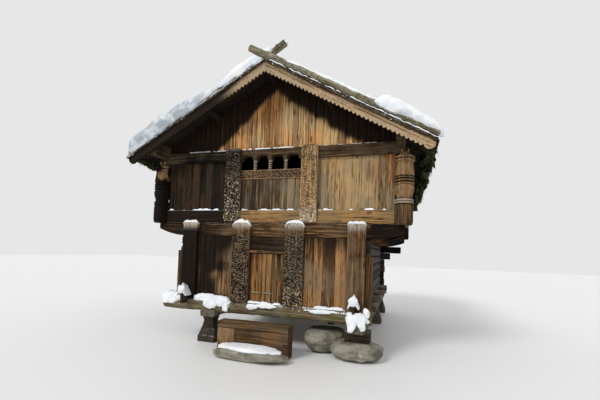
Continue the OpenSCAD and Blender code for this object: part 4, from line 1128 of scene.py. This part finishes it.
def bargeboard(side, y0, y1, seed):
    """One board down a slope. Its depth is constant, plus half sine waves for the teeth, and its lower end
    follows a circle. The front is a grid, whose top quarter stands proud as the fillet."""
    run = RUN - 0.015
    lobe = (BARGE_H + TOOTH_H) / 2
    teeth_end = run - BARGE_END
    s = np.linspace(0, teeth_end, int(teeth_end / PITCH) * 8, endpoint=False)
    s = np.concatenate([s, teeth_end + BARGE_END * np.sin(np.linspace(0, np.pi / 2, 40))])[:, None]
    wave = np.abs(np.sin(np.pi * (teeth_end - s) / PITCH))
    low = np.where(s < teeth_end, BARGE_H + TOOTH_H * wave ** 0.8, BARGE_H)
    round_end = np.sqrt(np.maximum(lobe ** 2 - (s - run + lobe) ** 2, 0))
    low = np.where(s > run - 2 * lobe, np.maximum(np.where(s > run - lobe, 0, low), lobe + round_end), low)
    high = np.where(s > run - lobe, lobe - round_end, 0)
    v = np.array([0, 0.03, 0.24, 0.27, 0.4, 0.6, 0.8, 0.96, 1.0])
    ring = np.concatenate([xyz(v, -0.25 * (v < 0.25), 0.1 + 0.9 * v, 0.62 * (v < 0.26)),
                           [[1, 0.225, 0.5, 0], [1, 0.75, 0.5, 0], [0.5, 0.75, 0.5, 0], [0, 0.75, 0.5, 0],
                            [0, 0.225, 0.5, 0]]])
    down, back, tone, fillet = ring.T
    depth = high + down * (low - high)
    y = y0 + (y1 - y0) * (0.25 + back) + 0.002 * wobble(xyz(s, 0, seed), 0.6, seed)
    far = depth * np.tan(SLOPE) + s * (1 - depth * np.tan(SLOPE) / run)
    return shell(slope_point(far, -depth, y, side), xyz(depth, y, s + 7.3 * seed), xyz(tone, 0, fillet))


for name, near, far_y in (("front", -3.762, ROOF_Y0), ("rear", 4.254, ROOF_Y1)):
    boards = [bargeboard(side, near, far_y, 451 + side) for side in (-1, 1)]
    if name == "front":
        # Painted shade darkens the left front board towards its lower end.
        darken(boards[0], ease(-0.2, -1.3, boards[0][0][..., 0]))
    piece("toothed_boards_" + name, boards, barge_wood, "bargeboards_" + name)

# Rake poles and eave logs
# Round poles weigh down the edges of the bark. At the ridge the rake poles are halved into each other and
# run on past the crossing. They are silver grey, with olive moss and pale lichen on the weather side.
POLE_R, POLE_LIFT = 0.092, 0.132
POLE_YS = (-3.632, 4.124)
mossy_wood = new_material("mossy_wood")
colour, rough, height = timbered(mossy_wood, (146, 134, 106), (84, 75, 58), (32, 28, 20), (134, 128, 114), 0.7,
                                 frost=0.3)
at = object_point(mossy_wood)
moss = spread(noise(at, 7, 5, 0.65), 0.52, 0.62, 0, 0.7)
colour = blend(moss, colour, (84, 88, 44))
colour = blend(spread(noise(at, 19), 0.62, 0.68, 0, 0.8), colour, (166, 170, 146))
feed(mossy_wood, colour, rough, height + moss * 0.8, 0.008, 0.2)
for name, side in SIDES:
    poles = []
    for k, y in enumerate(POLE_YS):
        a, b = [slope_point(s - POLE_LIFT * np.tan(SLOPE), POLE_LIFT, y, side) for s in (-0.5, RUN)]
        taper = 2 * POLE_R * (0.98 + 0.02 * np.sin(np.linspace(0, 11 + k + side, 110)))
        taper = (taper * np.interp(np.linspace(0, 1, 110), [0, 0.2, 1], [0.88, 0.97, 1]))[None]
        pole = bars(a, b, (0, 1, 0), taper, taper, POLE_R, 110, 6, uneven=0.006, seed=461 + k + 3 * side)
        x, across = pole[0][..., 0], side * (pole[0][..., 1] - y)
        lap = ease(0.24, 0.18, np.abs(x))
        pole[0][..., 1] = y + side * np.where(lap > 0, np.minimum(across, (1 - lap) * POLE_R * 1.2), across)
        poles.append(pole)
    piece("mossy_poles_" + name, poles, mossy_wood, "rake_poles_" + name)
lo, hi = box("eave_logs")
z = (lo[2] + hi[2]) / 2
logs = [bars((s * 3.59, lo[1], z), (s * 3.59, hi[1], z), (1, 0, 0), 0.148, 0.148, 0.074, 90, 5, uneven=0.006,
             seed=471 + s) for s in (-1, 1)]
piece("eave_poles", logs, mossy_wood, "eave_logs")

# Snow
# Frozen snow from a few cold days: it lies on the roof, over the poles, on the ledges, post heads, log
# heads and steps. Each lump is a closed skin that sinks a little into what it lies on. It is white, faintly
# blue in patches, with a fine crust, and grey on the left of the roof, which is painted shade.
SNOW_Y0, SNOW_Y1, SNOW_RUN = -3.55, 4.04, 4.02
snow = new_material("snow")
at = object_point(snow)
x, _, z = parts(at)
crust, soft = noise(at, 42, 5, 0.65), noise(at, 6)
# Painted shade: the snow on the left slope turns grey.
shaded_snow = spread(x, -0.6, -2.0) * spread(z, 4.2, 4.5) * spread(noise(at, 4.5, 4, 0.6), 0.4, 0.56, 0.4, 1.0)
colour = blend(shaded_snow, blend(spread(soft, 0.35, 0.65), (222, 228, 236), (240, 241, 240)), (168, 176, 182))
feed(snow, colour, spread(crust, 0.3, 0.7, 0.6, 0.85), crust * 0.5 + soft * 0.5, 0.012, 0.2)


def slope_snow(side, thick, cover, seed, front, begin, rows=124, cols=36):
    """The snow field on one slope. Its depth is the base thickness plus two wobbles, and it dips under
    the turf where that is small. It deepens by `front` towards the front edge, from `begin` down the
    slope on, and both slopes share the same depth at the ridge."""
    y = np.linspace(SNOW_Y0, SNOW_Y1, rows)[:, None]
    s, under = out_and_back(np.linspace(0, 1, cols) * SNOW_RUN)
    flat = xyz(s, y, 0)
    bare = ease(cover - 0.35, cover + 0.35, wobble(flat + 9 * side, 1.1, seed) + 0.35 * wobble(flat, 0.25, seed + 1))
    bare = bare * (1 - ease(0.7, 0, s)) * ease(-3.35, -2.9, y)
    depth = thick * (1 + 0.35 * wobble(flat, 0.8, 503)) + 0.02 * wobble(flat, 0.22, 504)
    depth = depth + front * ease(-2.6, -3.4, y) * ease(begin, begin + 0.7, s) * (1 - bare)
    depth = depth * (1 - bare) - 0.06 * bare
    edge = np.minimum(ease(0, 0.1, y - SNOW_Y0), ease(0, 0.1, SNOW_Y1 - y)) * ease(4.03, 3.9, s)
    return shell(mitred(s, 0.08 + (1 - under) * (0.07 + depth) * edge, y, side, SNOW_RUN))


def roll(side, s0, s1, thick, lowest, seed, y=POLE_YS[0], rows=120, cols=26, gaps=0.0, lump=0.12):
    """Snow over a rake pole: a tube about the pole's axis, which stands out by a lumpy thickness above the
    height `lowest` on its flank, and lies inside the pole elsewhere. Both are read off lines of distances
    down the slope and values."""
    s = np.linspace(s0, s1, rows)[:, None]
    ends = ease(0, 0.15, s - s0) * ease(0, 0.05, s1 - s)
    dome = np.sqrt(1 - (1 - np.clip(np.minimum((s - s0) / 0.14, (s1 - s) / 0.42), 0.002, 1)) ** 2)
    angle = around(cols)
    skin = xyz(s, 0.16 * np.cos(angle), 0.16 * np.sin(angle))
    amount = 1 + lump * wobble(skin + seed, 0.7, seed, 2) + 0.15 * lump * wobble(skin, 0.22, seed + 1, 2)
    amount = np.clip(amount - gaps * (1 + wobble(xyz(s, 0, 0), 0.9, seed + 2)), 0.05, 2) * ends * np.interp(s, *thick)
    up = np.sin(angle)
    ragged = np.interp(s, *lowest) + 0.2 * wobble(xyz(s + 0 * angle, 0, 0), 0.3, seed + 3, 2)
    over = ease(ragged - 0.25, ragged + 0.25, up)
    radius = dome * (POLE_R - 0.02 + (0.02 + amount * (0.25 + 0.75 * np.clip(up, 0, 1))) * over)
    outward = np.sign(y) * radius * np.cos(angle)
    return shell(slope_point(s - POLE_LIFT * np.tan(SLOPE), POLE_LIFT + radius * up, y + outward, side))


def bead(side, seed, rows=320, cols=7):
    """A thin line of snow along the torn bark edge in front, with gaps."""
    s = np.linspace(0.1, RUN, rows)[:, None]
    line = xyz(s, 0, 0)
    amount = np.clip(wobble(line + seed, 0.3, seed, 4) + 0.7, 0, 1) ** 0.5
    angle = around(cols)
    lift = 0.035 + 0.008 * wobble(line, 0.2, seed + 2) + 0.013 * amount * np.sin(angle) - 0.01 * (1 - amount)
    return shell(slope_point(s, lift, -3.765 + 0.02 * (1 - amount) + 0.0156 * amount * np.cos(angle), side))


def mound(x, y, z, w, d, h, seed, rough=0.16):
    """A heap of snow: the upper part of a squared ball with lumps of two sizes on it, cut level below."""
    points = blob((x, y, z), (w, d, h), seed, 30, 40, chips=0.0)[0][0]
    return shell((x, y, z) + (points - (x, y, z)) * (1 + rough * wobble(points, 0.16, seed + 5))[..., None])


roof_snow = [
    slope_snow(-1, 0.09, 0.75, 511, 0.1, 1.7), slope_snow(1, 0.06, 0.35, 512, 0.12, 0.5),
    roll(-1, 0.12, 1.5, ([0.1, 0.4, 0.8, 1.1, 1.5], [0.07, 0.12, 0.12, 0.07, 0.03]),
         ([0.1, 0.9, 1.5], [-0.7, -0.5, -0.1]), 513, rows=50),
    roll(-1, 1.28, RUN + 0.09, ([1.28, 1.7, 2.1, 2.6, 3.1, 3.7, 4.1, 4.27],
                                [0.03, 0.09, 0.15, 0.22, 0.26, 0.25, 0.17, 0.1]),
         ([1.28, 1.7, 2.2], [0.1, -0.4, -0.75]), 517),
    roll(1, 2.72, RUN + 0.1, ([2.72, 2.95, 3.2, 3.6, 3.9, 4.1, 4.3], [0.05, 0.17, 0.19, 0.17, 0.15, 0.12, 0.07]),
         ([2.7, 2.95, 3.25, 3.5, 3.9, 4.2], [0.5, -0.3, -0.2, 0.4, 0.4, 0.35]), 514, cols=32),
    roll(1, 0.45, 2.8, ([0.4, 1.0, 1.4, 2.5], [0.03, 0.02, 0.06, 0.05]), ([0, 5], [0.8, 0.75]), 516, gaps=0.3,
         lump=0.3)]
roof_snow += [roll(side, 0.3, RUN, ([0, 4.3], [0.05, 0.06]), ([0, 5], [0.2, 0.2]), 518 + side, POLE_YS[1], gaps=0.3,
                   lump=0.3) for side in (-1, 1)]
roof_snow += [bead(side, 520 + side) for side in (-1, 1)]
roof_snow += [mound(0.0, -3.6, 6.84, 0.26, 0.2, 0.13, 523), mound(0.33, -3.63, 6.97, 0.3, 0.14, 0.08, 524)]
piece("roof_snow", roof_snow, snow)


def drift(x0, x1, y, z, half_w, high, seed, cover, lump=0.3):
    """Snow along a ledge. Its section is half an ellipse on a flat foot. A wobble along the way, raised by
    `cover`, sets its height and width, and where that falls below zero the snow sinks out of sight."""
    s = np.linspace(0, 1, 110)[:, None]
    line = xyz(x0 + s * (x1 - x0), y, z)
    amount = np.clip(1.4 * (wobble(line + seed, lump, seed) + 2 * cover - 0.5), 0, 1) ** 0.6
    amount = amount * ease(0, 0.03, s) * ease(1, 0.97, s)
    angle = around(12)
    wide = half_w * (0.25 + 0.75 * amount) * np.cos(angle)
    up = np.where(np.sin(angle) > 0, high * amount * np.abs(np.sin(angle)) ** 0.8, -0.0036)
    up = up * (1 + 0.2 * wobble(line + 3 * np.cos(angle)[..., None], 0.12, seed + 1)) - 0.012 * (1 - amount)
    return shell(line + xyz(0, -wide, up))


def cap(x, w, round_r, thick, seed, rows=30, cols=16):
    """A snow cap on a post's rounded head: rows across the head, with half an ellipse over its depth."""
    u = np.sin(np.linspace(-np.pi / 2, np.pi / 2, rows))[:, None] * (w / 2 + 0.006)
    inside = np.clip(np.abs(u) - (w / 2 - round_r), 0, round_r * 0.98)
    head = 2.95 - round_r + np.sqrt(round_r ** 2 - inside ** 2)
    angle = around(cols)
    y = -3.204 + 0.058 * np.cos(angle)
    lumps = 1 + 0.35 * wobble(xyz(x + u, y, 0), 0.12, seed)
    high = thick * lumps * np.sqrt(np.clip(1 - (u / (w / 2 + 0.01)) ** 4, 0.02, 1))
    return shell(xyz(x + u, y, head + np.where(np.sin(angle) > 0, high * np.abs(np.sin(angle)) ** 0.7, -0.012)))


def head_cap(s):
    """A snow cap on the six-sided head of a side log: half an ellipse over its depth, highest in the middle."""
    u, angle = np.linspace(-1, 1, 30)[:, None], around(20)
    lumps = 1 + 0.3 * wobble(xyz(u + s, angle, 0), 1.5, 571 + s)
    high = (0.12 - 0.04 * np.abs(u)) * lumps * np.sqrt(np.clip(1.02 - np.abs(u) ** 4, 0, 1))
    up = np.where(np.sin(angle) > 0, high * np.abs(np.sin(angle)) ** 0.7, -0.02)
    return shell(xyz(s * CORNER_X + 0.118 * u, -3.385 + 0.135 * np.cos(angle), 1.29 - 0.16 * np.abs(u) + up))


ledges = [drift(*row) for row in (
    (-2.85, -1.18, -3.15, 3.25, 0.022, 0.045, 531, 0.42), (-0.78, 0.78, -3.15, 3.25, 0.022, 0.035, 532, 0.36),
    (1.18, 2.85, -3.15, 3.25, 0.022, 0.04, 533, 0.3), (-2.3, -1.18, -3.15, 4.73, 0.022, 0.03, 534, 0.6),
    (-0.78, 0.78, -3.15, 4.73, 0.022, 0.03, 535, 0.65), (1.18, 2.5, -3.15, 4.73, 0.022, 0.014, 536, 0.4),
    (-2.3, -1.9, -3.19, 1.035, 0.05, 0.06, 537, 0.7), (-0.44, 0.44, -3.215, 1.035, 0.045, 0.04, 539, 0.55),
    (0.9, 1.9, -3.215, 1.035, 0.045, 0.05, 540, 0.5), (-0.44, 0.44, -3.242, 0.97, 0.02, 0.03, 541, 0.3, 0.12),
    (0.95, 2.0, -3.242, 0.97, 0.022, 0.035, 542, 0.4, 0.1), (-0.45, 0.16, -3.21, 2.262, 0.012, 0.01, 543, 0.6))]
piece("ledge_snow", ledges, snow)
caps = [cap(s * CORNER_X, 0.4, 0.045, 0.045, 551 + s) for s in (-1, 1)]
caps += [cap(s * JAMB_X, 0.45, 0.11, 0.06, 554 + s) for s in (-1, 1)]
for s in (-1, 1):
    caps += [head_cap(s), mound(s * CORNER_X, -3.5, 1.27, 0.19, 0.09, 0.2, 579 + s)]
piece("head_caps", caps, snow)
heaps = [mound(*row) for row in (
    (2.17, -3.42, 0.91, 0.46, 0.24, 0.24, 561), (2.08, -3.535, 0.8, 0.2, 0.07, 0.3, 562),
    (2.3, -3.53, 0.84, 0.16, 0.07, 0.3, 563), (2.36, -3.3, 1.02, 0.14, 0.2, 0.22, 564),
    (-2.62, -3.08, 1.06, 0.62, 0.4, 0.22, 565), (-2.6, -3.255, 0.98, 0.5, 0.09, 0.22, 578),
    (-2.32, -3.2, 1.06, 0.3, 0.2, 0.2, 566), (-2.76, -3.12, 0.98, 0.2, 0.3, 0.2, 567),
    (0.03, -4.12, 0.23, 1.4, 0.44, 0.12, 568, 0.06), (-1.62, -3.215, 1.07, 0.62, 0.14, 0.19, 569),
    (-1.18, -3.22, 1.06, 0.5, 0.15, 0.15, 570), (-1.42, -3.275, 0.96, 0.4, 0.1, 0.26, 572),
    (-1.08, -3.27, 0.99, 0.42, 0.1, 0.22, 573), (-1.0, -3.285, 0.88, 0.16, 0.07, 0.22, 574),
    (0.05, -3.27, 0.985, 0.5, 0.07, 0.1, 575), (-0.3, -3.275, 0.95, 0.3, 0.06, 0.12, 576),
    (1.35, -3.275, 0.97, 0.5, 0.06, 0.1, 577))]
piece("snow_heaps", heaps, snow)
